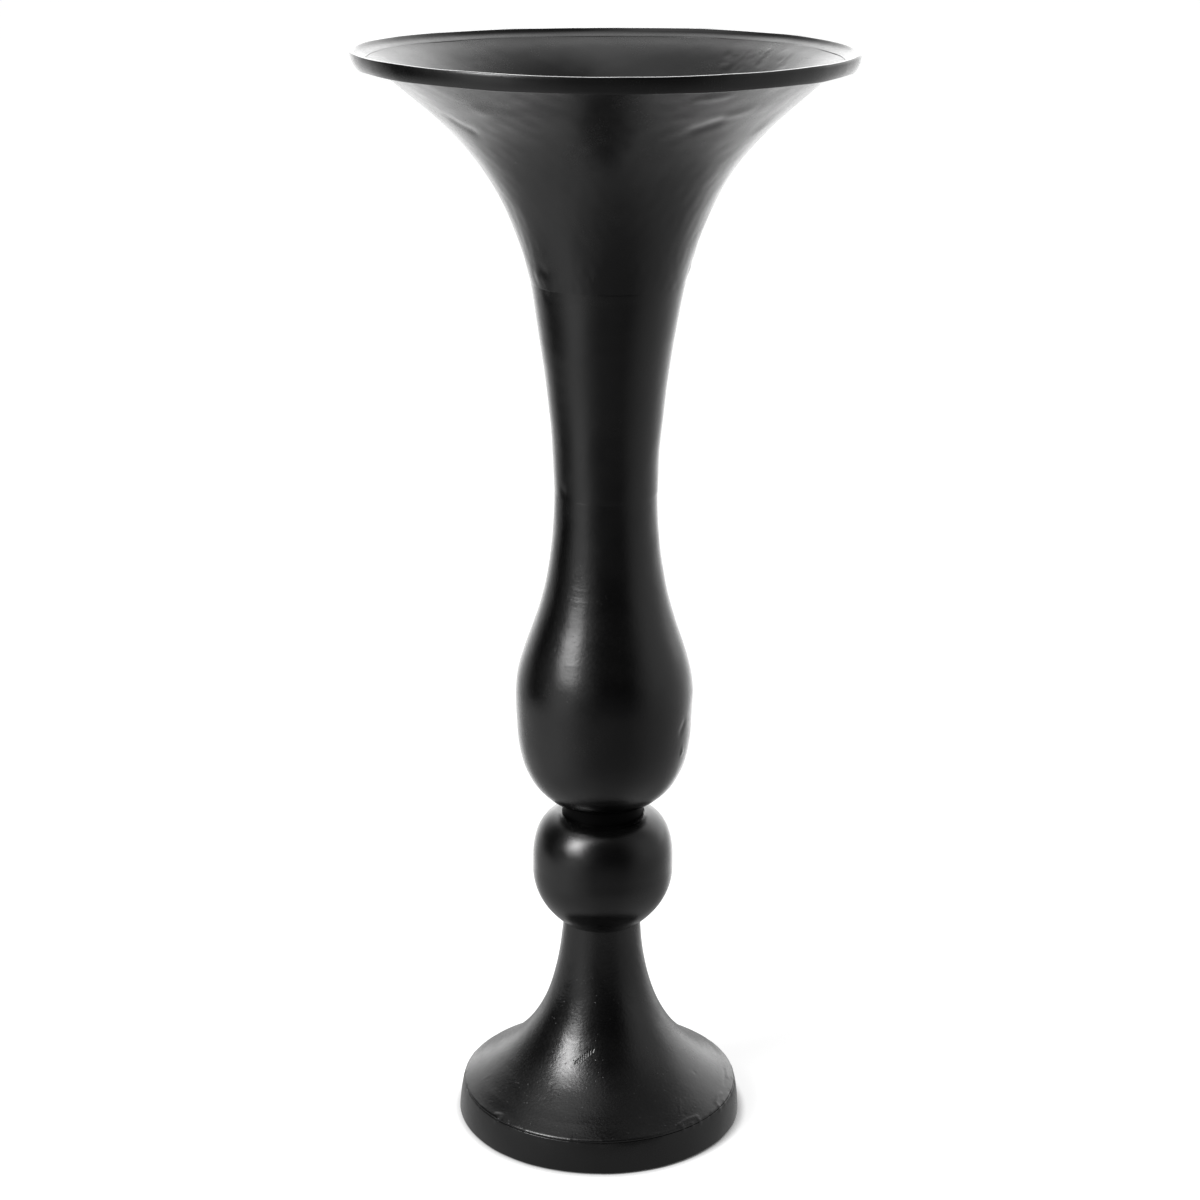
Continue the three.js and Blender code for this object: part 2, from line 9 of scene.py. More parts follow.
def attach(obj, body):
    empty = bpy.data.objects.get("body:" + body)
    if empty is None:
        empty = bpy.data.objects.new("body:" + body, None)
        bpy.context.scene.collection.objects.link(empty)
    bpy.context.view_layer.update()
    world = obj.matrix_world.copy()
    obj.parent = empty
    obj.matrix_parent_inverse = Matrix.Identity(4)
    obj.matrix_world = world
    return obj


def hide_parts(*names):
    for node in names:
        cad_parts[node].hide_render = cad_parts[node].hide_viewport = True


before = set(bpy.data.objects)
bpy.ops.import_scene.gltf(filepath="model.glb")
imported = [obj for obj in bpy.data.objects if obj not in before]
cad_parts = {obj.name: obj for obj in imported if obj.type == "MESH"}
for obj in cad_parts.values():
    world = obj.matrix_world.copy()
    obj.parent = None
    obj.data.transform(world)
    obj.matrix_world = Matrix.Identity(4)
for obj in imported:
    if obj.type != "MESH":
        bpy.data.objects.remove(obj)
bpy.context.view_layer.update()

MM = 0.001
BODY = "root"


def put_in_scene(name, data):
    """A new object in the scene."""
    made = bpy.data.objects.new(name, data)
    bpy.context.scene.collection.objects.link(made)
    return made


# Camera, as the photograph sees the vase

CAMERA_PLACE = (-0.0017795, -1.739165, 0.962637)
CAMERA_TILT = 17.6587
CAMERA_ROLL = 0.38155
CAMERA_LENS = 75.474
CAMERA_REACH = 200


def make_camera():
    """The photograph's camera, tilted down and rolled a little."""
    data = bpy.data.cameras.new("camera")
    data.lens = CAMERA_LENS
    data.clip_end = CAMERA_REACH
    camera = put_in_scene("camera", data)
    down = Matrix.Rotation(math.radians(90 - CAMERA_TILT), 4, "X")
    roll = Matrix.Rotation(math.radians(CAMERA_ROLL), 4, "Z")
    camera.matrix_world = Matrix.Translation(CAMERA_PLACE) @ down @ roll
    bpy.context.scene.camera = camera


make_camera()


# Outlines: a node's section becomes one smooth line with eased corners

CORNER_TURN = 20
SHORT_SIDE = 2.0
EDGE_EASE = 0.35
EASE_TURN_STEP = 18
SAMPLES_PER_SIDE = 40
CUT_SAMPLES = 400
# A corner this near to the cut belongs to it, and what is shorter or nearer than these counts as nothing
SECTION_REACH = 2e-3
NO_LENGTH = 1e-3
SAME_PLACE = 0.1
TINY = 1e-9
# An outline is an outer wall where it faces away from the axis by more than this
OUTWARD = 0.05


def section_of(node):
    """The node's cut on its front half plane, and whether that line starts and ends on the axis.

    The line is anticlockwise, as (radius, height) in millimetres.
    """
    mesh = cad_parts[node].data
    corners = np.empty(len(mesh.vertices) * 3)
    mesh.vertices.foreach_get("co", corners)
    corners = corners.reshape(-1, 3) / MM
    points = []
    number = {}
    place = {}
    for i, (x, y, z) in enumerate(corners):
        if abs(x) < SECTION_REACH and y < SECTION_REACH / 2:
            key = (round(-y, 3), round(z, 3))
            if key not in number:
                number[key] = len(points)
                points.append(key)
            place[i] = number[key]
    neighbours = [set() for _ in points]
    for edge in mesh.edges:
        a, b = (place.get(v) for v in edge.vertices)
        if a is not None and b is not None and a != b:
            neighbours[a].add(b)
            neighbours[b].add(a)
    ends = [i for i, near in enumerate(neighbours) if len(near) == 1]
    order = [ends[0] if ends else 0]
    while len(order) < len(points):
        onward = [i for i in neighbours[order[-1]] if i not in order]
        order.append(onward[0])
    line = np.array([points[i] for i in order], float)
    after = np.roll(line, -1, axis=0)
    area = np.sum(line[:, 0] * after[:, 1] - after[:, 0] * line[:, 1])
    return line if area > 0 else line[::-1], bool(ends)


def turns(line):
    """How far the line turns at each point, in degrees, taken as a closed line."""
    before = line - np.roll(line, 1, axis=0)
    after = np.roll(line, -1, axis=0) - line
    cross = before[:, 0] * after[:, 1] - before[:, 1] * after[:, 0]
    return np.degrees(np.arctan2(cross, np.sum(before * after, axis=1)))


def smooth_run(points):
    """A fine line through the points of one run, with no kink at any of them."""
    count = len(points)
    steps = np.linalg.norm(np.diff(points, axis=0), axis=1)
    bend = np.zeros((count, 2))
    if count >= 4:
        system = np.zeros((count, count))
        pull = np.zeros((count, 2))
        for i in range(1, count - 1):
            system[i, i - 1] = steps[i - 1]
            system[i, i] = 2 * (steps[i - 1] + steps[i])
            system[i, i + 1] = steps[i]
            onward = (points[i + 1] - points[i]) / steps[i]
            arriving = (points[i] - points[i - 1]) / steps[i - 1]
            pull[i] = 6 * (onward - arriving)
        system[0, :3] = steps[1], -steps[0] - steps[1], steps[0]
        system[-1, -3:] = steps[-1], -steps[-1] - steps[-2], steps[-2]
        bend = np.linalg.solve(system, pull)
    fine = [points[:1]]
    for i, length in enumerate(steps):
        b = np.linspace(0, 1, SAMPLES_PER_SIDE + 1)[1:, None]
        a = 1 - b
        straight = a * points[i] + b * points[i + 1]
        curved = ((a**3 - a) * bend[i] + (b**3 - b) * bend[i + 1]) * length**2 / 6
        fine.append(straight + curved)
    return np.concatenate(fine)


def along(line):
    """The length of the line up to each of its points."""
    return np.concatenate([[0], np.cumsum(np.linalg.norm(np.diff(line, axis=0), axis=1))])


def cut_run(fine, lead, tail, pitch, zones=()):
    """Points along a fine line, short of its ends by lead and tail, with a support row near each end.

    Each zone is (low, high, share): between two heights the points stand share times as close.
    """
    length = along(fine)
    low = lead
    high = length[-1] - tail
    if high - low < NO_LENGTH:
        stops = [(low + high) / 2]
    else:
        support = min(EDGE_EASE, (high - low) / 4)
        start = low + support
        end = high - support
        dense = np.linspace(start, end, CUT_SAMPLES)
        height = np.interp(dense, length, fine[:, 1])
        weight = np.ones_like(dense)
        for bottom, top, share in zones:
            weight[(height > bottom) & (height < top)] = share
        total = np.concatenate([[0], np.cumsum((weight[1:] + weight[:-1]) / 2)])
        count = max(1, math.ceil((end - start) * weight.mean() / pitch))
        stops = [low, *np.interp(np.linspace(0, total[-1], count + 1), total, dense), high]
    return np.stack([np.interp(stops, length, fine[:, k]) for k in (0, 1)], axis=1)


# Places on a section and what stands for each, where paint and filler soften the joint
FILLED_CORNERS = {
    "rim_band": (
        ((169.2, 797.2), (168.3, 798.3)), ((168.6, 796.6), (166.6, 796.9)),
        ((161.8, 795.6), (161.62, 794.3)), ((172.4, 799.0), (172.4, 799.4)),
        ((172.1, 799.7), (172.3, 799.85)), ((171.4, 800.0), (171.9, 800.0)),
    ),
    "horn": (
        ((161.5, 795.6), (161.58, 794.28)), ((158.3, 795.6), (158.6, 792.6)),
        ((154.0, 792.1), (153.6, 789.9)),
    ),
    "ball": (((37.0, 243.6), (37.8, 243.0), (35.2, 244.1), (30.7, 244.7), (30.4, 243.6)),),
    "foot": (
        ((103.0, 24.5), (103.3, 24.35)), ((103.2, 25.3), (103.5, 25.2)), ((102.7, 25.9), (102.9, 26.0)),
    ),
    "plinth_ring": (((103.5, 24.2), (103.8, 24.2)), ((103.9, 24.0), (104.0, 24.0))),
}
# Corners that stay almost sharp, so that a seam shows as a thin line
TIGHT_CORNERS = {
    "rim_band": ((161.62, 794.3),),
    "horn": ((161.58, 794.28), (54.2, 642.0)),
    "neck": ((53.4, 642.0), (36.6, 490.0)),
    "bulb": ((36.6, 490.0), (33.4, 254.5)),
    "ball": ((30.7, 244.7), (30.4, 243.6)),
}
TIGHT_EASE = 0.04


def filled(node, line):
    """The section with its filled corners in place."""
    for place, *stand_ins in FILLED_CORNERS.get(node, ()):
        i = np.argmin(np.linalg.norm(line - place, axis=1))
        line = np.concatenate([line[:i], stand_ins, line[i + 1:]])
    return line


def is_tight(node, corner):
    """Whether a corner of a node's section is one of its tight ones."""
    return any(np.hypot(*(corner - place)) < SAME_PLACE for place in TIGHT_CORNERS.get(node, ()))


def outline(node, outer_pitch, inner_pitch, zones=()):
    """The points of the node's smooth outline, and whether it starts and ends on the axis."""
    line, open_ended = section_of(node)
    line = filled(node, line)
    turn = turns(line)
    if open_ended:
        turn[0] = turn[-1] = 180
    corners = [i for i in range(len(line)) if abs(turn[i]) > CORNER_TURN]
    if not open_ended:
        line = np.roll(line, -corners[0], axis=0)
        turn = np.roll(turn, -corners[0])
        corners = [i for i in range(len(line)) if abs(turn[i]) > CORNER_TURN]
        line = np.concatenate([line, line[:1]])
        turn = np.append(turn, turn[0])
        corners.append(len(line) - 1)
    runs = [smooth_run(line[a:b + 1]) for a, b in zip(corners, corners[1:])]
    sides = [along(run)[-1] for run in runs]
    last = len(runs) - 1

    def ease_between(i, j):
        """How far from the corner between two runs its ease starts, in millimetres."""
        shorter = min(sides[i], sides[j])
        if is_tight(node, runs[j][0]):
            return min(TIGHT_EASE, shorter / 2)
        return shorter / 2 if shorter < SHORT_SIDE else EDGE_EASE

    points = []
    for i, run in enumerate(runs):
        lead = ease_between(i - 1, i) if i > 0 or not open_ended else 0
        tail = ease_between(i, (i + 1) % len(runs)) if i < last or not open_ended else 0
        rising = run[-1, 1] > run[0, 1]
        points.append(cut_run(run, lead, tail, outer_pitch if rising else inner_pitch, zones))
    result = []
    for i, part in enumerate(points):
        result.append(part)
        if i == last and open_ended:
            break
        following = points[(i + 1) % len(points)]
        corner = line[corners[i + 1]]
        count = max(1, round(abs(turn[corners[i + 1]]) / EASE_TURN_STEP) - 1)
        t = np.linspace(0, 1, count + 2)[1:-1, None]
        result.append((1 - t) ** 2 * part[-1] + 2 * t * (1 - t) * corner + t**2 * following[0])
    return np.concatenate(result), open_ended


# Round forms: an outline is turned about the axis, with more bearings where marks are

# How far the stack's axis stands to the side, by height
LEAN_LEVELS = (0, 30, 90, 158, 200, 270, 330, 400, 475, 600, 642, 700, 750, 775, 789, 800)
LEAN_SHIFTS = (0, 0.15, 0.9, 1.2, 1.6, 1.7, 1.8, 2.0, 2.0, 1.8, 2.5, 1.95, 1.45, 0.55, -0.4, -0.8)


def lean(height):
    """How far the axis of the stack stands to the side at a height, in millimetres."""
    return np.interp(height, LEAN_LEVELS, LEAN_SHIFTS)


# Heights between which the horn's round form turns into the mouth's oval and wavy one
MOUTH_LEVELS = (700, 789)
# Bearing, and how far the mouth's edge stands above its level there
MOUTH_RISE = (
    (-180, 0.9), (-160, 0.6), (-130, 0.9), (-90, 1.1), (-45, 0.9), (0, -0.1), (28, 0.6), (45, 1.1),
    (90, 1.4), (130, 2.2), (150, 1.9), (165, 1.4), (180, 0.9),
)
MOUTH_WAVES = 4
MOUTH_OVAL = 0.0045
BEARING_SAMPLES = 3601


def mouth_rise(angles):
    """How far the mouth's edge stands above its level at each bearing, in millimetres, with no kinks."""
    around = np.radians(np.arange(-180, 180))
    rise = np.interp(np.degrees(around), *zip(*MOUTH_RISE))
    smooth = np.full(len(angles), rise.mean())
    for wave in range(1, MOUTH_WAVES + 1):
        for shape in (np.cos, np.sin):
            smooth += 2 * np.mean(rise * shape(wave * around)) * shape(wave * angles)
    return smooth


def bearings(count, busy=()):
    """Bearings round the axis, in radians from the front. Each busy zone is (bearing, half width, share)."""
    fine = np.linspace(-180, 180, BEARING_SAMPLES)
    weight = np.ones_like(fine)
    for centre, half, share in busy:
        off = (fine - centre + 180) % 360 - 180
        weight += share * np.exp(-((off / half) ** 2))
    total = np.concatenate([[0], np.cumsum((weight[1:] + weight[:-1]) / 2)])
    marks = np.linspace(0, total[-1], count + 1)[:-1]
    return np.radians(np.interp(marks, total, fine))


def even_bearings(count):
    """Evenly spread bearings round the axis, in radians from the front."""
    return np.linspace(-math.pi, math.pi, count, endpoint=False)


def unit(vectors):
    """The vectors, each at a length of one."""
    return vectors / np.maximum(np.linalg.norm(vectors, axis=1), TINY)[:, None]


def facing(line, open_ended):
    """The outward direction of each point of an anticlockwise outline."""
    if open_ended:
        before = np.concatenate([line[:1], line[:-1]])
        after = np.concatenate([line[1:], line[-1:]])
    else:
        before = np.roll(line, 1, axis=0)
        after = np.roll(line, -1, axis=0)
    way = unit(unit(line - before) + unit(after - line))
    return np.stack([way[:, 1], -way[:, 0]], axis=1)


def make_piece(name, points, faces, material, nodes):
    """A mesh object in metres that rides on the vase and stands for the given nodes."""
    mesh = bpy.data.meshes.new(name)
    mesh.from_pydata((points * MM).tolist(), [], faces)
    mesh.shade_smooth()
    mesh.materials.append(material)
    piece = put_in_scene(name, mesh)
    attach(piece, BODY)
    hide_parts(*nodes)
    return piece


def keep_sharp(piece, degrees):
    """Leaves an edge of the piece sharp where its faces meet at more than this."""
    piece.data.set_sharp_from_angle(angle=math.radians(degrees))


def turned_faces(rows, columns, open_ended):
    """Quads of a grid of rows by bearings, with a fan of triangles at each end that meets the axis."""
    first = 1 if open_ended else 0
    stop = rows - 1 if open_ended else rows
    row_pairs = [(i, i + 1) for i in range(first, stop - 1)]
    if not open_ended:
        row_pairs.append((rows - 1, 0))

    def start(i):
        """The number of a row's first point."""
        return 1 + (i - 1) * columns if open_ended else i * columns

    here = np.arange(columns)
    onward = np.roll(here, -1)
    faces = []
    for i, j in row_pairs:
        quad = np.stack([start(i) + here, start(i) + onward, start(j) + onward, start(j) + here], axis=1)
        faces.extend(quad.tolist())
    if open_ended:
        low = start(1)
        high = start(rows - 2)
        tip = start(rows - 2) + columns
        faces.extend([0, low + b, low + a] for a, b in zip(here, onward))
        faces.extend([tip, high + a, high + b] for a, b in zip(here, onward))
    return faces


def turned_grid(radius, height, angles, open_ended):
    """Places of a turned grid, from the radius and the height of each place in its rows."""
    mouth = np.interp(height, MOUTH_LEVELS, (0, 1))
    grid = np.stack([
        radius * np.sin(angles) * (1 + MOUTH_OVAL * mouth) + lean(height),
        -radius * np.cos(angles),
        height + mouth * mouth_rise(angles),
    ], axis=2)
    if not open_ended:
        return grid.reshape(-1, 3)
    return np.concatenate([grid[0, :1], grid[1:-1].reshape(-1, 3), grid[-1, :1]])


def turned_points(line, angles, lift, open_ended):
    """Places of a turned grid that stands off the outline by lift, with a row for each of its points."""
    out = facing(line, open_ended)
    radius = line[:, :1] + out[:, :1] * lift
    height = line[:, 1:] + out[:, 1:] * lift
    return turned_grid(radius, height, angles, open_ended)


# Relief: castings are slightly uneven, and carry the marks that show

# Waves of a cast and filled surface: length, height, and how many are mixed
SLOW_WAVES = (90, 0.075, 7)
MIDDLING_WAVES = (34, 0.022, 9)
SMALL_WAVES = (13, 0.0042, 12)
WAVE_SPREAD = (0.75, 1.35)


def unevenness(line, angles, seed, rough=1.0):
    """Slow, middling and small waves in millimetres, the small ones rough times as high."""
    random = np.random.default_rng(seed)
    length = along(line)[:, None]
    lift = np.zeros((len(line), len(angles)))
    for (wave_length, height, count), share in ((SLOW_WAVES, 1), (MIDDLING_WAVES, 1), (SMALL_WAVES, rough)):
        for _ in range(count):
            tilt = random.uniform(0, math.pi)
            size = wave_length * random.uniform(*WAVE_SPREAD)
            waves_round = round(2 * math.pi * line[:, 0].mean() * math.cos(tilt) / size)
            waves_along = 2 * math.pi * math.sin(tilt) / size
            phase = random.uniform(0, 2 * math.pi)
            wave = np.cos(waves_round * angles[None, :] + waves_along * length + phase)
            lift += height * share * wave
    return lift


def surface_points(line, angles):
    """Places of the unlifted turned grid, rows by bearings by three."""
    radius = line[:, :1]
    return np.stack([
        radius * np.sin(angles),
        -radius * np.cos(angles),
        np.broadcast_to(line[:, 1:], (len(line), len(angles))),
    ], axis=2)


def on_surface(line, marks, side):
    """Places on the outer wall, side 1, or the inner one, side -1, for marks given as (bearing, height)."""
    placed = []
    wall = line[facing(line, False)[:, 0] * side > OUTWARD]
    order = np.argsort(wall[:, 1])
    for bearing, height in marks:
        radius = np.interp(height, wall[order, 1], wall[order, 0])
        angle = math.radians(bearing)
        placed.append((radius * math.sin(angle), -radius * math.cos(angle), height))
    return np.array(placed)


def distance_to(path, grid, reach):
    """How far each grid place is from a path, or reach where it is further."""
    low = path.min(axis=0) - reach
    high = path.max(axis=0) + reach
    near = np.all((grid > low) & (grid < high), axis=2)
    result = np.full(grid.shape[:2], float(reach))
    chosen = grid[near]
    best = np.full(len(chosen), float(reach))
    if len(path) == 1:
        best = np.minimum(best, np.linalg.norm(chosen - path[0], axis=1))
    for a, b in zip(path, path[1:]):
        side = b - a
        t = np.clip((chosen - a) @ side / (side @ side), 0, 1)
        best = np.minimum(best, np.linalg.norm(chosen - a - t[:, None] * side, axis=1))
    result[near] = best
    return result


MARK_REACH = 4


def mark(line, grid, places, width, height, side=1):
    """A bump or, with a height below zero, a groove or dent along the places, as a smooth bell across."""
    away = distance_to(on_surface(line, places, side), grid, MARK_REACH * width)
    bell = np.exp(-((away / width) ** 2)) - math.exp(-(MARK_REACH**2))
    return height * bell


# Marks: the places that each runs through as (bearing, height), its width and how far it stands out
FOOT_MARKS = (
    # The filled crack above the flare's middle
    (((-18.6, 62.9), (-18.2, 64.9), (-16.8, 63.7), (-16.9, 66.3), (-15.0, 64.7), (-15.3, 67.4),
      (-13.3, 65.8), (-13.8, 68.8), (-11.9, 67.2), (-12.1, 70.0), (-10.0, 68.3), (-10.3, 71.3),
      (-8.1, 69.6), (-8.2, 72.5), (-6.2, 71.0), (-5.4, 73.2)), 0.3, -0.3),
    (((-17.4, 62.6), (-14.4, 64.6), (-11.6, 67.2), (-8.4, 69.0), (-6, 70.2)), 0.45, 0.03),
    # Pits, alone and in runs
    (((-30.9, 49), (-29.5, 45.2), (-27.2, 41.8)), 0.9, -0.16),
    (((89.2, 29.9), (76.4, 28.9)), 0.9, -0.2),
    (((67.4, 42.6),), 1.3, -0.25),
    (((-24.1, 76.6),), 0.7, -0.16),
    (((-26.3, 62.2),), 0.7, -0.16),
    (((-30.2, 40.6),), 0.8, -0.16),
    # Scratches on both sides of the flare
    (((-74.4, 32.7), (-73.6, 36)), 0.8, 0.14),
    (((40.3, 32.2), (44, 36)), 0.8, 0.14),
    # Lumps of filler above the plinth ring, and a dent among them
    (((36, 27.2), (40.8, 27.9), (46.4, 27.4)), 1.4, 0.36),
    (((41.5, 30.2),), 1.2, -0.2),
    (((60.9, 27.4), (65.7, 28.6), (69, 28.2)), 1.3, 0.3),
    (((-49, 26.8), (-46.4, 27.2)), 1.5, 0.45),
    (((84, 28.4), (96, 29)), 1.6, 0.3),
)

# Filler squeezed out of the seam between the foot and the plinth ring: bearing, width, height
SEAM_LUMPS = (
    (-91, 2.0, 0.3), (-77, 1.5, -0.2), (-60, 1.6, 0.15), (-47.3, 2.0, 0.45), (-40, 1.3, -0.2),
    (-31.7, 1.2, 0.25), (-24, 2.4, -0.12), (-12, 1.6, 0.12), (1.2, 1.4, 0.2), (14, 2.6, -0.1),
    (27, 1.7, 0.12), (37, 1.6, 0.35), (42, 1.4, 0.3), (46.4, 1.5, 0.4), (53, 1.6, -0.2),
    (60.9, 1.8, 0.4), (66, 1.5, 0.3), (74, 2.2, -0.25), (86, 2.2, 0.35), (98, 1.8, 0.25),
    (123, 2.5, -0.2), (151, 2.2, 0.3), (-163, 2.0, 0.2), (-128, 2.4, -0.15), (-109, 1.6, 0.25),
)
SEAM_SCATTER = 0.25
SEAM_SEED = 25


def seam_marks(height):
    """The seam's lumps as marks at a height, with a little scatter up and down."""
    random = np.random.default_rng(SEAM_SEED)
    return tuple((((bearing, height + random.uniform(-SEAM_SCATTER, SEAM_SCATTER)),), width, rise)
                 for bearing, width, rise in SEAM_LUMPS)


BULB_MARKS = (
    (((-28, 375.9), (-19, 376.8)), 1.1, 0.045),
    (((-25.6, 398.6),), 0.9, -0.16),
    (((-25.5, 403.5),), 0.8, -0.12),
    (((62.5, 301), (64.5, 302.5), (63, 304)), 1.2, 0.45),
    (((59, 320), (63, 325)), 2.6, -0.4),
    (((81.2, 343.7),), 5.0, 0.25),
    (((-47, 301),), 7.0, 0.2),
    (((-33, 427.9), (-24, 427.6), (-16, 428.0)), 0.9, 0.04),
    (((-36, 423.5), (-21, 423.2)), 0.9, -0.04),
    (((-31, 419.5), (-22, 419.9), (-13, 419.6)), 0.9, 0.045),
    (((-30, 415.8), (-20, 415.5)), 0.9, -0.03),
)

NECK_MARKS = (
    (((-52.7, 638.4),), 4.0, -0.3),
    (((-26.2, 523.2),), 1.0, -0.15),
    (((-54.4, 495.7),), 4.0, -0.35),
)

HORN_MARKS = (
    (((-58.1, 651),), 5.0, 0.38),
    (((-48.8, 655.3),), 4.5, -0.4),
    (((-7, 659.2),), 5.0, 0.12),
    (((-13.4, 653.3),), 0.8, 0.16),
    (((-9.9, 654.1),), 0.8, 0.16),
    (((84, 653),), 4.5, 0.8),
    (((86, 663),), 6.0, 0.7),
    (((-55.9, 759.7), (-50.7, 754.5)), 5.0, -0.45),
    (((27.6, 761.2), (33.9, 765.4)), 5.5, -0.4),
    (((36.7, 769.3), (42.6, 772.5)), 5.0, 0.25),
    (((23, 782.8), (30, 784)), 4.0, 0.2),
    (((-37.4, 772.2),), 7.0, 0.3),
    (((62, 754.1),), 8.0, 0.3),
    (((22.2, 728.3),), 8.0, -0.2),
)

# Dimples inside the mouth: the least and the most of bearing, level, run, drop, width and height
DIMPLE_LEAST = (117, 775, -2, -2, 1.1, -0.24)
DIMPLE_MOST = (144, 790, 2, 2, 2.1, 0.22)
DIMPLE_COUNT = 60
DIMPLE_SEED = 8


def dimples():
    """Scattered dimples and bumps as marks."""
    random = np.random.default_rng(DIMPLE_SEED)
    drawn = random.uniform(DIMPLE_LEAST, DIMPLE_MOST, (DIMPLE_COUNT, len(DIMPLE_MOST)))
    return tuple((((bearing, level), (bearing + run, level + drop)), width, height)
                 for bearing, level, run, drop, width, height in drawn.tolist())


HORN_INNER_MARKS = (
    (((-136.7, 781.9),), 2.2, -0.25),
    (((-137.8, 779.1),), 2.0, 0.2),
    *dimples(),
)

BALL_MARKS = (
    (((-30, 222),), 6.0, 0.12),
    (((20, 180),), 9.0, -0.15),
)


# Materials

def material(name):
    """A new material with its nodes, its links and its shader."""
    made = bpy.data.materials.new(name)
    made.use_nodes = True
    nodes = made.node_tree.nodes
    return made, nodes, made.node_tree.links, nodes["Principled BSDF"]


def node_of(nodes, kind, **settings):
    """A new node of a kind, with its settings."""
    made = nodes.new(kind)
    for key, value in settings.items():
        setattr(made, key, value)
    return made


def feed(links, value, socket):
    """Sets a socket to a number, or links another node's output to it."""
    if isinstance(value, (int, float)):
        socket.default_value = value
    else:
        links.new(value, socket)


def object_place(nodes):
    """The place on the object, in metres."""
    return node_of(nodes, "ShaderNodeTexCoord").outputs["Object"]


def noise(nodes, links, place, scale, detail=2.0, rough=0.5, stretch=(1, 1, 1)):
    """A noise pattern, scale in waves for each metre."""
    mapping = node_of(nodes, "ShaderNodeMapping")
    mapping.inputs["Scale"].default_value = stretch
    links.new(place, mapping.inputs["Vector"])
    made = node_of(nodes, "ShaderNodeTexNoise")
    made.inputs["Scale"].default_value = scale
    made.inputs["Detail"].default_value = detail
    made.inputs["Roughness"].default_value = rough
    links.new(mapping.outputs["Vector"], made.inputs["Vector"])
    return made.outputs["Fac"]


def remap(nodes, links, value, low, high, to_low, to_high):
    """A value taken from the span low to high to another span, and held at that span's ends."""
    made = node_of(nodes, "ShaderNodeMapRange")
    made.inputs["From Min"].default_value = low
    made.inputs["From Max"].default_value = high
    made.inputs["To Min"].default_value = to_low
    made.inputs["To Max"].default_value = to_high
    links.new(value, made.inputs["Value"])
    return made.outputs["Result"]


def combine(nodes, links, operation, a, b=0.0):
    """The result of a sum, a product or another operation."""
    made = node_of(nodes, "ShaderNodeMath", operation=operation)
    feed(links, a, made.inputs[0])
    feed(links, b, made.inputs[1])
    return made.outputs["Value"]


def tones(nodes, links, pattern, dark, light, span=(0, 1)):
    """A colour that goes from dark to light over a span of the pattern."""
    ramp = node_of(nodes, "ShaderNodeValToRGB")
    for element, position, colour in zip(ramp.color_ramp.elements, span, (dark, light)):
        element.position = position
        element.color = (*colour, 1)
    links.new(pattern, ramp.inputs["Fac"])
    return ramp.outputs["Color"]


def relief(nodes, links, shader, heights, depth):
    """Fine bumps on the surface, depth in metres where a height is one."""
    bump = node_of(nodes, "ShaderNodeBump")
    bump.inputs["Distance"].default_value = depth
    links.new(heights, bump.inputs["Height"])
    links.new(bump.outputs["Normal"], shader.inputs["Normal"])


# The span that a noise pattern mostly keeps to
NOISE_SPAN = (0.3, 0.7)
BLACK_DARK = (0.0007, 0.0007, 0.0008)
BLACK_LIGHT = (0.0018, 0.0018, 0.0018)
BLACK_SPAN = (0.35, 0.7)
BLACK_RELIEF = 0.00004
BLACK_IOR = 1.5
PEEL_DEPTH = 0.35
LINES_DEPTH = 0.25
BLAST_DEPTH = 0.62
PIT_EDGE = (0.05, 0.14)
PIT_FADE = 0.07
# How far the roughness goes down and up, in slow clouds and in the grain
CLOUD_SPREAD = (-0.03, 0.05)
GRAIN_SPREAD = (-0.03, 0.04)


def black_paint(name, roughness, seed_shift, grain_depth=0.08, grain_scale=900,
                pit_depth=1.5, pit_scale=160, pit_share=0.55):
    """Thin black paint over a filled and sanded casting, with turning lines, orange peel and pinholes.

    The seed shift, in metres, picks another part of the patterns.
    """
    made, nodes, links, shader = material(name)
    shift = node_of(nodes, "ShaderNodeVectorMath", operation="ADD")
    shift.inputs[1].default_value = (seed_shift, 0, 0)
    links.new(object_place(nodes), shift.inputs[0])
    place = shift.outputs["Vector"]

    clouds = noise(nodes, links, place, scale=28, detail=3)
    grain = noise(nodes, links, place, scale=grain_scale)
    lines = noise(nodes, links, place, scale=1, detail=3, rough=0.7, stretch=(6, 6, 700))
    peel = noise(nodes, links, place, scale=330, detail=1)
    blast = noise(nodes, links, place, scale=4000, detail=0)

    spread = [roughness + change for change in CLOUD_SPREAD]
    dull = remap(nodes, links, clouds, *NOISE_SPAN, *spread)
    fine = remap(nodes, links, grain, *NOISE_SPAN, *GRAIN_SPREAD)
    links.new(combine(nodes, links, "ADD", dull, fine), shader.inputs["Roughness"])
    colour = tones(nodes, links, clouds, BLACK_DARK, BLACK_LIGHT, BLACK_SPAN)
    links.new(colour, shader.inputs["Base Color"])
    shader.inputs["Metallic"].default_value = 0.0
    shader.inputs["IOR"].default_value = BLACK_IOR

    pits = node_of(nodes, "ShaderNodeTexVoronoi")
    pits.inputs["Scale"].default_value = pit_scale
    links.new(place, pits.inputs["Vector"])
    rare = noise(nodes, links, place, scale=60, detail=1)
    some = remap(nodes, links, rare, pit_share, pit_share + PIT_FADE, 0, 1)
    hole = remap(nodes, links, pits.outputs["Distance"], *PIT_EDGE, -1, 0)
    holes = combine(nodes, links, "MULTIPLY", hole, some)

    layers = (
        (peel, PEEL_DEPTH), (lines, LINES_DEPTH), (grain, grain_depth), (holes, pit_depth),
        (blast, BLAST_DEPTH),
    )
    heights = 0.0
    for pattern, depth in layers:
        layer = combine(nodes, links, "MULTIPLY", pattern, depth)
        heights = combine(nodes, links, "ADD", heights, layer)
    relief(nodes, links, shader, heights, BLACK_RELIEF)
    return made


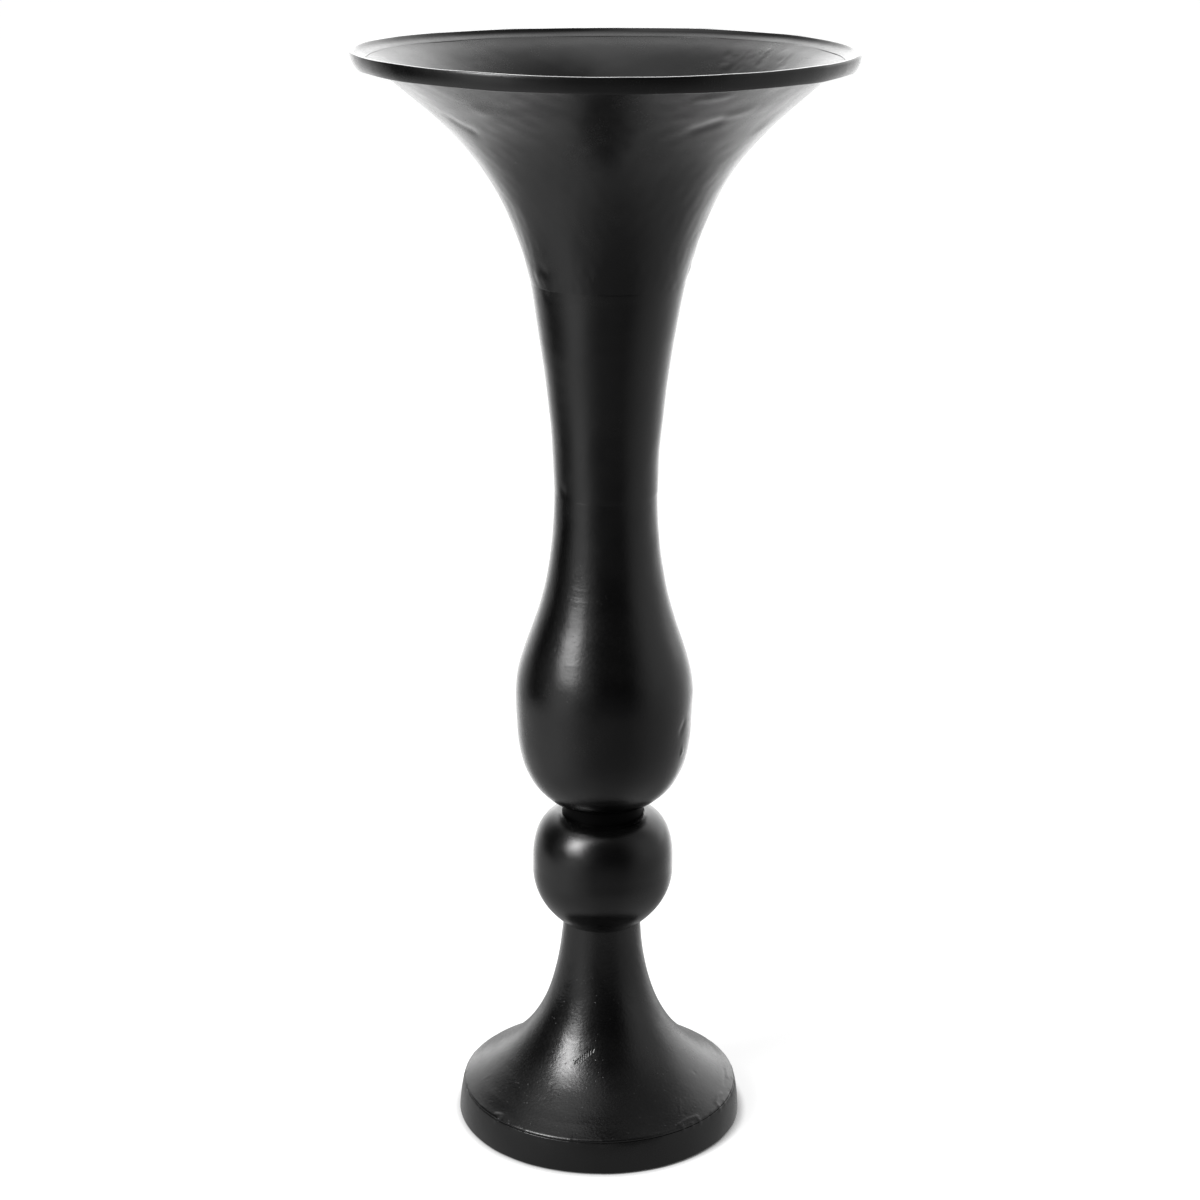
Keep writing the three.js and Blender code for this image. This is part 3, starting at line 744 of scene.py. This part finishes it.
ZINC_DARK = (0.42, 0.43, 0.44)
ZINC_LIGHT = (0.58, 0.58, 0.57)
ZINC_ROUGHNESS = (0.26, 0.42)
ZINC_RELIEF = 0.00002


def zinc(name):
    """Zinc plated steel, with faint turning marks."""
    made, nodes, links, shader = material(name)
    place = object_place(nodes)
    spangle = noise(nodes, links, place, scale=350, detail=3)
    lines = noise(nodes, links, place, scale=1, stretch=(40, 40, 4000))
    links.new(tones(nodes, links, spangle, ZINC_DARK, ZINC_LIGHT), shader.inputs["Base Color"])
    shader.inputs["Metallic"].default_value = 1.0
    links.new(remap(nodes, links, spangle, *NOISE_SPAN, *ZINC_ROUGHNESS), shader.inputs["Roughness"])
    relief(nodes, links, shader, lines, ZINC_RELIEF)
    return made


RUBBER_DARK = (0.010, 0.010, 0.010)
RUBBER_LIGHT = (0.022, 0.022, 0.021)
RUBBER_ROUGHNESS = (0.7, 0.9)
RUBBER_RELIEF = 0.00005


def rubber(name):
    """Matt black rubber with a fine moulded grain."""
    made, nodes, links, shader = material(name)
    grain = noise(nodes, links, object_place(nodes), scale=1800)
    links.new(tones(nodes, links, grain, RUBBER_DARK, RUBBER_LIGHT), shader.inputs["Base Color"])
    links.new(remap(nodes, links, grain, *NOISE_SPAN, *RUBBER_ROUGHNESS), shader.inputs["Roughness"])
    relief(nodes, links, shader, grain, RUBBER_RELIEF)
    return made


PAINT = black_paint("black_paint", roughness=0.20, seed_shift=0.0)
HORN_PAINT = black_paint("black_paint_horn", roughness=0.21, seed_shift=3.0)
FOOT_PAINT = black_paint(
    "black_paint_foot", roughness=0.21, seed_shift=7.0, grain_depth=2.9, grain_scale=500,
    pit_depth=3.2, pit_scale=260, pit_share=0.42,
)
BULB_PAINT = black_paint(
    "black_paint_bulb", roughness=0.20, seed_shift=5.0, grain_depth=1.6, grain_scale=450,
    pit_depth=2.2, pit_scale=280, pit_share=0.5,
)
# The collar's paint has its shine turned almost off, so that it shows near black: painted shade for the dark
# recess between the bulb and the ball
COLLAR_PAINTED_SHADE = black_paint("black_paint_collar_painted_shade", roughness=0.42, seed_shift=11.0, grain_depth=0.5)
COLLAR_PAINTED_SHADE.node_tree.nodes["Principled BSDF"].inputs["Specular IOR Level"].default_value = 0.04
ZINC = zinc("zinc_plated_steel")
RUBBER = rubber("black_rubber")


# Castings

# How far a casting's outer wall stands past its section, by height
SWELL = {
    "bulb": ((254.5, 0), (268, 0.4), (285, 0.7), (305, 0.4), (330, 0), (465, 0), (490, 0.45)),
    "neck": ((490, 0.45), (523, 0), (605, 0), (625, 0.12), (635, 0.36), (642, 0.8)),
    "horn": ((660, 0), (700, 0.55), (770, 0.65), (789, 0.3)),
    "foot": (
        (25, 0.2), (32, 0.75), (42, 0.8), (60, 0.35), (80, -0.1), (100, -0.3), (130, -0.3), (158.5, 0),
    ),
}
FADE_LENGTH = 3
FOOT_SEAM = 25.3
RING_SEAM = 23.5


def fade(line, share):
    """The shares of the relief, going down to nothing towards each place whose share is nothing."""
    length = along(line)
    keep = share[:, 0]
    zero = length[keep == 0]
    if len(zero) == 0:
        return share
    away = np.min(np.abs(length[:, None] - zero[None, :]), axis=1)
    return (keep * np.clip(away / FADE_LENGTH, 0, 1))[:, None]


def casting(node, name, paint, outer_pitch, inner_pitch, count, seed, busy=(), zones=(),
            marks=(), inner_marks=(), rough=1.0, inside=0.0):
    """A dense turned mesh on a node's own section, with its unevenness and marks.

    Its inner walls get the share inside of the unevenness.
    """
    line, open_ended = outline(node, outer_pitch, inner_pitch, zones)
    angles = bearings(count, busy)
    out = facing(line, open_ended)
    outer = out[:, 0] > OUTWARD
    grid = surface_points(line, angles)
    share = np.where(outer, 1.0, inside)[:, None]
    lift = unevenness(line, angles, seed, rough) * fade(line, share)
    if node in SWELL:
        lift += (outer * np.interp(line[:, 1], *zip(*SWELL[node])))[:, None]
    for places, width, height in marks:
        lift += mark(line, grid, places, width, height) * outer[:, None]
    for places, width, height in inner_marks:
        lift += mark(line, grid, places, width, height, -1) * ~outer[:, None]
    points = turned_points(line, angles, lift, open_ended)
    faces = turned_faces(len(line), count, open_ended)
    return make_piece(name, points, faces, paint, [node])


casting(
    "rim_band", "rim_band_casting", PAINT, outer_pitch=0.7, inner_pitch=0.8, count=720, seed=11, inside=0.6,
)
casting(
    "horn", "horn_casting", HORN_PAINT, outer_pitch=2.7, inner_pitch=5.4, count=400, seed=12,
    busy=((0, 70, 0.8), (127, 16, 1.6)), zones=((745, 793, 2.2), (642, 660, 2)),
    marks=HORN_MARKS, inner_marks=HORN_INNER_MARKS, rough=2.0, inside=1.0,
)
casting(
    "neck", "neck_casting", PAINT, outer_pitch=1.8, inner_pitch=6.0, count=360, seed=13,
    busy=((-20, 60, 0.8),), marks=NECK_MARKS,
)
casting(
    "bulb", "bulb_casting", BULB_PAINT, outer_pitch=2.2, inner_pitch=7.5, count=355, seed=14,
    busy=((-22, 18, 0.8), (0, 70, 1.0)), zones=((296, 305, 1.5), (372, 380, 2), (415, 431, 3)),
    marks=BULB_MARKS, rough=1.2,
)
casting("collar", "collar_casting", COLLAR_PAINTED_SHADE, outer_pitch=0.8, inner_pitch=2.0, count=300, seed=15)
casting(
    "ball", "ball_casting", PAINT, outer_pitch=1.1, inner_pitch=5.0, count=400, seed=16,
    busy=((0, 70, 0.8),), marks=BALL_MARKS,
)
casting(
    "foot", "foot_casting", FOOT_PAINT, outer_pitch=1.2, inner_pitch=6.0, count=480, seed=17,
    busy=((-12, 9, 2.2), (-12, 45, 0.8), (60, 30, 0.5)), zones=((24, 31, 1.6), (61, 75, 3.6)),
    marks=FOOT_MARKS + seam_marks(FOOT_SEAM), rough=1.5,
)
plinth = casting(
    "plinth_ring", "plinth_ring_casting", PAINT, outer_pitch=0.8, inner_pitch=3.0, count=600, seed=18,
    marks=seam_marks(RING_SEAM),
)


# Pockets for the pads, cut up into the plinth ring

PAD_PLACES = {
    "pad_back_right": (66.468, 66.468),
    "pad_back_left": (-66.468, 66.468),
    "pad_front_left": (-66.468, -66.468),
    "pad_front_right": (66.468, -66.468),
}
POCKET_RADIUS = 9.25
POCKET_TOP = 3.32
CUTTER_BOTTOM = -2.0
POCKET_SIDES = 64
PLINTH_SHARP = 50


def cut_pockets(piece):
    """Takes a round pocket for each pad out of the underside of a piece."""
    around = np.linspace(0, 2 * math.pi, POCKET_SIDES, endpoint=False)
    points = []
    faces = []
    for x, y in PAD_PLACES.values():
        first = len(points)
        for z in (CUTTER_BOTTOM, POCKET_TOP):
            points.extend(
                (x + POCKET_RADIUS * math.cos(a), y + POCKET_RADIUS * math.sin(a), z) for a in around
            )
        low = [first + i for i in range(POCKET_SIDES)]
        high = [i + POCKET_SIDES for i in low]
        faces.extend([low[i - 1], low[i], high[i], high[i - 1]] for i in range(POCKET_SIDES))
        faces.extend([low[::-1], high])
    mesh = bpy.data.meshes.new("pocket_cutter")
    mesh.from_pydata((np.array(points) * MM).tolist(), [], faces)
    cutter = put_in_scene("pocket_cutter", mesh)
    cut = piece.modifiers.new("pockets", "BOOLEAN")
    cut.operation = "DIFFERENCE"
    cut.solver = "EXACT"
    cut.object = cutter
    bpy.context.view_layer.update()
    evaluated = piece.evaluated_get(bpy.context.evaluated_depsgraph_get())
    shaped = bpy.data.meshes.new_from_object(evaluated)
    piece.modifiers.clear()
    piece.data = shaped
    keep_sharp(piece, PLINTH_SHARP)
    bpy.data.objects.remove(cutter)
    bpy.data.meshes.remove(mesh)


cut_pockets(plinth)


# Fasteners and pads inside and under the foot

ROD_RADIUS = 4.9
ROD_BOTTOM = 129.0
ROD_TOP = 275.5
ROD_CHAMFER = 0.9
ROD_SIDES = 48
ROD_SHARP = 40
PLAIN_ROWS = 12
PLAIN_INSET = 1
THREAD_PITCH = 1.5
THREAD_DEPTH = 0.55
THREAD_ROWS = 8
THREAD_START = 0.8
THREAD_RUNOUT = 2
# The lower thread stops at the first of these heights, and the upper one starts at the second
THREAD_ENDS = (170.0, 247.0)
# The groove's share of its full depth, held at 1: in its middle, and how fast it falls off over a turn
GROOVE_FLAT = 1.25
GROOVE_SLOPE = 4.2
NUT_FLATS = 17.0
NUT_BOTTOM = 139.0
NUT_TOP = 147.0
NUT_BORE = 5.1
NUT_BORE_CHAMFER = 0.5
NUT_TURNED_OFF = 0.35
NUT_CONE = 30
NUT_SIDES = 96
NUT_SHARP = 20
SPRING_TOP = 149.5
SPRING_RADIUS = 9.0
SPRING_SPLIT = 12
SPRING_EASE = 0.3
SPRING_STATIONS = 73
WASHER_TOP = 152.5
WASHER_RADIUS = 20.0
WASHER_BORE = 5.6
WASHER_SIDES = 96
WASHER_OUTLINE = (
    (WASHER_BORE + 0.25, SPRING_TOP), (WASHER_RADIUS - 0.5, SPRING_TOP),
    (WASHER_RADIUS - 0.12, SPRING_TOP + 0.12), (WASHER_RADIUS, SPRING_TOP + 0.5),
    (WASHER_RADIUS, WASHER_TOP - 0.9), (WASHER_RADIUS - 0.25, WASHER_TOP - 0.25),
    (WASHER_RADIUS - 0.9, WASHER_TOP), (WASHER_BORE + 0.5, WASHER_TOP),
    (WASHER_BORE, WASHER_TOP - 0.4), (WASHER_BORE, SPRING_TOP + 0.25),
)
PAD_RADIUS = 9.0
PAD_TOP = 3.3
PAD_SIDES = 64
# Two rings touch the floor, with a groove between them and a hollow inside
PAD_OUTLINE = (
    (0, 0.5), (2.2, 0.5), (2.7, 0), (4.8, 0), (5.1, 0.4), (5.7, 0.4), (6.0, 0), (8.3, 0), (8.8, 0.25),
    (PAD_RADIUS, 0.8), (PAD_RADIUS, PAD_TOP - 0.4), (PAD_RADIUS - 0.4, PAD_TOP), (0, PAD_TOP),
)
SMALL_SHARP = 32


def turned(name, line, count, paint, node, open_ended=False, place=(0, 0)):
    """A small turned piece with sharp edges kept, from an anticlockwise outline in millimetres."""
    line = np.array(line, float)
    angles = even_bearings(count)
    points = turned_points(line, angles, np.zeros((len(line), count)), open_ended)
    points[:, :2] += place
    faces = turned_faces(len(line), count, open_ended)
    piece = make_piece(name, points, faces, paint, [node])
    keep_sharp(piece, SMALL_SHARP)


def tie_rod():
    """A round rod, threaded at both ends, with a chamfer at each tip."""
    angles = even_bearings(ROD_SIDES)
    step = THREAD_PITCH / THREAD_ROWS
    low = np.arange(ROD_BOTTOM + THREAD_START, THREAD_ENDS[0], step)
    high = np.arange(THREAD_ENDS[1], ROD_TOP - THREAD_START, step)
    plain = np.linspace(THREAD_ENDS[0] + PLAIN_INSET, THREAD_ENDS[1] - PLAIN_INSET, PLAIN_ROWS)
    side = np.concatenate([low, plain, high])[:, None]
    turn = (side / THREAD_PITCH - angles / (2 * math.pi)) % 1
    groove = np.clip(GROOVE_FLAT - GROOVE_SLOPE * np.abs(turn - 0.5), 0, 1)
    into_thread = np.maximum(THREAD_ENDS[0] - side, side - THREAD_ENDS[1])
    share = np.clip(into_thread / THREAD_RUNOUT, 0, 1)
    tip = ROD_RADIUS - ROD_CHAMFER
    from_tip = np.minimum(side - ROD_BOTTOM, ROD_TOP - side)
    radius = np.minimum(ROD_RADIUS - THREAD_DEPTH * groove * share, tip + from_tip)
    same = np.ones((1, ROD_SIDES))
    radius = np.concatenate([0 * same, tip * same, radius, tip * same, 0 * same])
    height = np.concatenate([[[ROD_BOTTOM]] * 2, side, [[ROD_TOP]] * 2]) * same
    points = turned_grid(radius, height, angles, True)
    faces = turned_faces(len(radius), ROD_SIDES, True)
    piece = make_piece("tie_rod_threaded", points, faces, ZINC, ["tie_rod"])
    keep_sharp(piece, ROD_SHARP)


def nut():
    """A hexagon nut whose corners are turned off to a cone at both faces."""
    angles = even_bearings(NUT_SIDES)
    face_middle = (np.degrees(angles) + 180) % 60 - 30
    reach = NUT_FLATS / 2 / np.cos(np.radians(face_middle))
    turned_to = NUT_FLATS / 2 - NUT_TURNED_OFF
    cone = (reach - turned_to) * math.tan(math.radians(NUT_CONE))
    bore_edge = NUT_BORE + NUT_BORE_CHAMFER
    rows = (
        (bore_edge, NUT_BOTTOM), (turned_to, NUT_BOTTOM),
        (reach, NUT_BOTTOM + cone), (reach, NUT_TOP - cone),
        (turned_to, NUT_TOP), (bore_edge, NUT_TOP),
        (NUT_BORE, NUT_TOP - NUT_BORE_CHAMFER), (NUT_BORE, NUT_BOTTOM + NUT_BORE_CHAMFER),
    )
    same = np.ones_like(angles)
    radius = np.array([far * same for far, up in rows])
    height = np.array([up * same for far, up in rows])
    points = turned_grid(radius, height, angles, False)
    faces = turned_faces(len(rows), NUT_SIDES, False)
    piece = make_piece("clamp_nut", points, faces, ZINC, ["nut"])
    keep_sharp(piece, NUT_SHARP)


def spring_washer():
    """A split ring of square wire with eased corners, flat as it is when clamped."""
    ease = SPRING_EASE
    inner = WASHER_BORE
    outer = SPRING_RADIUS
    section = (
        (inner + ease, NUT_TOP), (outer - ease, NUT_TOP), (outer, NUT_TOP + ease),
        (outer, SPRING_TOP - ease), (outer - ease, SPRING_TOP), (inner + ease, SPRING_TOP),
        (inner, SPRING_TOP - ease), (inner, NUT_TOP + ease),
    )
    half = math.radians(SPRING_SPLIT / 2)
    around = np.linspace(half, 2 * math.pi - half, SPRING_STATIONS)
    points = [(r * math.cos(a) + lean(z), r * math.sin(a), z) for a in around for r, z in section]
    size = len(section)
    faces = []
    for i in range(len(around) - 1):
        for j in range(size):
            k = (j + 1) % size
            faces.append([i * size + j, (i + 1) * size + j, (i + 1) * size + k, i * size + k][::-1])
    faces.append(list(range(size)))
    last = (len(around) - 1) * size
    faces.append([last + j for j in range(size)][::-1])
    points = np.array(points)
    piece = make_piece("split_spring_washer", points, faces, ZINC, ["spring_washer"])
    keep_sharp(piece, SMALL_SHARP)


tie_rod()
nut()
spring_washer()
turned("stamped_washer", WASHER_OUTLINE, WASHER_SIDES, ZINC, "clamp_washer")
for pad, where in PAD_PLACES.items():
    turned(pad + "_moulded", PAD_OUTLINE, PAD_SIDES, RUBBER, pad, open_ended=True, place=where)


# Studio: a white backdrop behind, a dark room in front, and soft boxes to the left, brightest in the middle

# No level in the tables of brightness goes past this
STUDIO_TOP = 3.5
# The brightness that shiny surfaces reflect, by bearing: round the walls, and overhead
WALLS = (
    (-180, 3.2), (-165, 3.0), (-152, 1.9), (-137, 0.95), (-125, 0.2), (-110, 0.02), (-92, 0.08),
    (-74, 0.3), (-45, 0.7), (-32, 0.85), (-22, 0.3), (-12, 0.1), (0, 0.05), (27, 0.04), (40, 0.06),
    (57, 0.4), (72, 0.66), (102, 0.7), (113, 1.0), (125, 1.8), (150, 2.3), (165, 2.6), (180, 3.2),
)
DOME = (
    (-180, 1.3), (-150, 0.9), (-120, 0.3), (-90, 0.25), (-62, 0.5), (-47, 0.5), (-30, 0.3),
    (-15, 0.14), (0, 0.1), (30, 0.12), (60, 0.22), (100, 0.3), (130, 0.4), (155, 0.9), (180, 1.3),
)
DOME_SPAN = (0.48, 0.86)
# A patch of spill high on the left
SPILL_AIM = (-58, 62)
SPILL_EDGE = (0.84, 0.98)
SPILL_LEVEL = 0.8
AMBIENT = 0.45


def levels(nodes, links, bearing, stops):
    """A brightness by bearing, from stops of (degrees, level)."""
    where = remap(nodes, links, bearing, -math.pi, math.pi, 0, 1)
    ramp = node_of(nodes, "ShaderNodeValToRGB")
    elements = ramp.color_ramp.elements
    while len(elements) < len(stops):
        elements.new(0.5)
    for element, (degrees, level) in zip(elements, stops):
        element.position = (degrees + 180) / 360
        element.color = (level / STUDIO_TOP,) * 3 + (1,)
    links.new(where, ramp.inputs["Fac"])
    return combine(nodes, links, "MULTIPLY", ramp.outputs["Color"], STUDIO_TOP)


def bearing_of(nodes, links, x, y):
    """The angle from the front, which is towards -Y, growing to the right."""
    return combine(nodes, links, "ARCTAN2", x, combine(nodes, links, "MULTIPLY", y, -1.0))


def direction_to(bearing, elevation):
    """The unit vector towards a bearing from the front and an elevation, both in degrees."""
    angle = math.radians(bearing)
    rise = math.radians(elevation)
    return math.sin(angle) * math.cos(rise), -math.cos(angle) * math.cos(rise), math.sin(rise)


def mixed(nodes, links, share, a, b):
    """Value a where share is 0, and value b where it is 1."""
    made = node_of(nodes, "ShaderNodeMix", data_type="FLOAT")
    for i, value in ((0, share), (2, a), (3, b)):
        feed(links, value, made.inputs[i])
    return made.outputs[0]


def mixed_shader(nodes, links, share, a, b):
    """Shader a where share is 0, and shader b where it is 1."""
    made = node_of(nodes, "ShaderNodeMixShader")
    feed(links, share, made.inputs["Fac"])
    links.new(a.outputs[0], made.inputs[1])
    links.new(b.outputs[0], made.inputs[2])
    return made


def make_world():
    """White to the camera, the room to shiny surfaces, and an even light to the rest."""
    world = bpy.data.worlds.new("studio")
    bpy.context.scene.world = world
    world.use_nodes = True
    world.cycles.sampling_method = "NONE"
    nodes = world.node_tree.nodes
    links = world.node_tree.links
    direction = node_of(nodes, "ShaderNodeSeparateXYZ")
    coordinates = node_of(nodes, "ShaderNodeTexCoord").outputs["Generated"]
    links.new(coordinates, direction.inputs[0])
    bearing = bearing_of(nodes, links, direction.outputs["X"], direction.outputs["Y"])
    around = levels(nodes, links, bearing, WALLS)
    above = levels(nodes, links, bearing, DOME)
    high = remap(nodes, links, direction.outputs["Z"], *DOME_SPAN, 0, 1)
    studio = mixed(nodes, links, high, around, above)
    aim = node_of(nodes, "ShaderNodeVectorMath", operation="DOT_PRODUCT")
    links.new(coordinates, aim.inputs[0])
    aim.inputs[1].default_value = direction_to(*SPILL_AIM)
    spill = remap(nodes, links, aim.outputs["Value"], *SPILL_EDGE, 0, SPILL_LEVEL)
    studio = combine(nodes, links, "ADD", studio, spill)
    path = node_of(nodes, "ShaderNodeLightPath")
    lit = mixed(nodes, links, path.outputs["Is Glossy Ray"], AMBIENT, studio)
    camera_ray = path.outputs["Is Camera Ray"]
    seen = combine(nodes, links, "MAXIMUM", camera_ray, path.outputs["Is Transmission Ray"])
    background = nodes["Background"]
    links.new(mixed(nodes, links, seen, lit, 1.0), background.inputs["Strength"])
    background.inputs["Color"].default_value = (1, 1, 1, 1)


FLOOR_HALF = 30
# The floor's brightness in reflections, by bearing: near the vase, further away, and far away
FLOOR_NEAR = (
    (-180, 0.5), (-120, 0.5), (-70, 0.55), (-45, 0.56), (-15, 0.42), (0, 0.34), (30, 0.36),
    (60, 0.48), (90, 0.5), (112, 0.38), (150, 0.38), (180, 0.5),
)
FLOOR_MIDDLE = (
    (-180, 2.3), (-150, 1.8), (-138, 1.05), (-125, 0.58), (-100, 0.62), (-60, 0.82), (-15, 0.24),
    (5, 0.22), (30, 0.2), (60, 0.38), (105, 0.52), (120, 0.68), (132, 1.0), (150, 2.1), (180, 2.3),
)
FLOOR_FAR = (
    (-180, 2.0), (-150, 1.8), (-138, 1.0), (-125, 0.6), (-108, 0), (-85, 0.08), (-62, 1.0),
    (-47, 1.1), (-30, 0.32), (-10, 0.13), (35, 0.1), (65, 0.47), (110, 0.7), (135, 1.15),
    (155, 1.8), (180, 2.0),
)
# Metres from the axis between which near turns into middle, and middle into far
NEAR_TO_MIDDLE = (0.28, 0.5)
MIDDLE_TO_FAR = (0.9, 1.6)
# To the camera the floor glows white, apart from the share that takes light and shadow as matt
FLOOR_WHITE = 1.9
MATT_WHITE = (0.9, 0.9, 0.9, 1)
SHADOW_SHARE = 0.6
# A painted contact shadow: the floor's white glow falls off within this many metres of the vase
CONTACT_SHADOW_REACH = 0.0075
CONTACT_SHADOW_POWER = 2.0
CONTACT_SHADOW_SAMPLES = 4


def make_floor():
    """White with a soft shadow and a painted contact shadow to the camera, matt to light, and a room's floor
    to reflections.
    """
    half = FLOOR_HALF
    mesh = bpy.data.meshes.new("floor")
    corners = [(-half, -half, 0), (half, -half, 0), (half, half, 0), (-half, half, 0)]
    mesh.from_pydata(corners, [], [(0, 1, 2, 3)])
    floor = put_in_scene("floor", mesh)
    made, nodes, links, shader = material("white_floor")
    mesh.materials.append(made)
    made.cycles.emission_sampling = "NONE"
    nodes.remove(shader)
    place = node_of(nodes, "ShaderNodeSeparateXYZ")
    links.new(object_place(nodes), place.inputs[0])
    x = place.outputs["X"]
    y = place.outputs["Y"]
    bearing = bearing_of(nodes, links, x, y)
    squares = [combine(nodes, links, "MULTIPLY", side, side) for side in (x, y)]
    away = combine(nodes, links, "SQRT", combine(nodes, links, "ADD", *squares))
    near = levels(nodes, links, bearing, FLOOR_NEAR)
    middle = levels(nodes, links, bearing, FLOOR_MIDDLE)
    far = levels(nodes, links, bearing, FLOOR_FAR)
    seen = mixed(nodes, links, remap(nodes, links, away, *NEAR_TO_MIDDLE, 0, 1), near, middle)
    seen = mixed(nodes, links, remap(nodes, links, away, *MIDDLE_TO_FAR, 0, 1), seen, far)

    # Painted contact shadow: the white glow is darkened where the vase stands close to the floor
    painted_contact_shadow = node_of(nodes, "ShaderNodeAmbientOcclusion", samples=CONTACT_SHADOW_SAMPLES)
    painted_contact_shadow.inputs["Distance"].default_value = CONTACT_SHADOW_REACH
    shade = combine(nodes, links, "POWER", painted_contact_shadow.outputs["AO"], CONTACT_SHADOW_POWER)
    white = node_of(nodes, "ShaderNodeEmission")
    links.new(combine(nodes, links, "MULTIPLY", shade, FLOOR_WHITE), white.inputs["Strength"])
    matt = node_of(nodes, "ShaderNodeBsdfDiffuse")
    matt.inputs["Color"].default_value = MATT_WHITE
    reflected = node_of(nodes, "ShaderNodeEmission")
    links.new(seen, reflected.inputs["Strength"])
    path = node_of(nodes, "ShaderNodeLightPath")
    shown = mixed_shader(nodes, links, SHADOW_SHARE, white, matt)
    by_camera = mixed_shader(nodes, links, path.outputs["Is Camera Ray"], matt, shown)
    by_gloss = mixed_shader(nodes, links, path.outputs["Is Glossy Ray"], by_camera, reflected)
    links.new(by_gloss.outputs[0], nodes["Material Output"].inputs["Surface"])


# Soft boxes, one in front of another: bearing, distance, height, width, tall, level
SOFT_BOXES = {
    "key_edge": (-52, 2.3, 1.75, 1.3, 2.3, 4.5),
    "key_middle": (-54, 2.28, 1.72, 0.95, 1.4, 6.5),
    "key_core": (-53.5, 2.25, 1.72, 0.7, 0.9, 8),
}
BOX_AIM_HEIGHT = 0.5


def soft_box(name, bearing, distance, height, width, tall, level):
    """An area lamp whose face is level times as bright as white, aimed at the vase."""
    data = bpy.data.lights.new(name, "AREA")
    data.shape = "RECTANGLE"
    data.size = width
    data.size_y = tall
    data.energy = level * math.pi * width * tall
    lamp = put_in_scene(name, data)
    angle = math.radians(bearing)
    rise = math.atan2(height - BOX_AIM_HEIGHT, distance)
    turn = Matrix.Rotation(angle, 4, "Z")
    tilt = Matrix.Rotation(math.radians(90) - rise, 4, "X")
    place = Matrix.Translation((distance * math.sin(angle), -distance * math.cos(angle), height))
    lamp.matrix_world = place @ turn @ tilt
    lamp.visible_camera = False


make_world()
make_floor()
for name, measures in SOFT_BOXES.items():
    soft_box(name, *measures)

bpy.context.scene.view_settings.view_transform = "Standard"
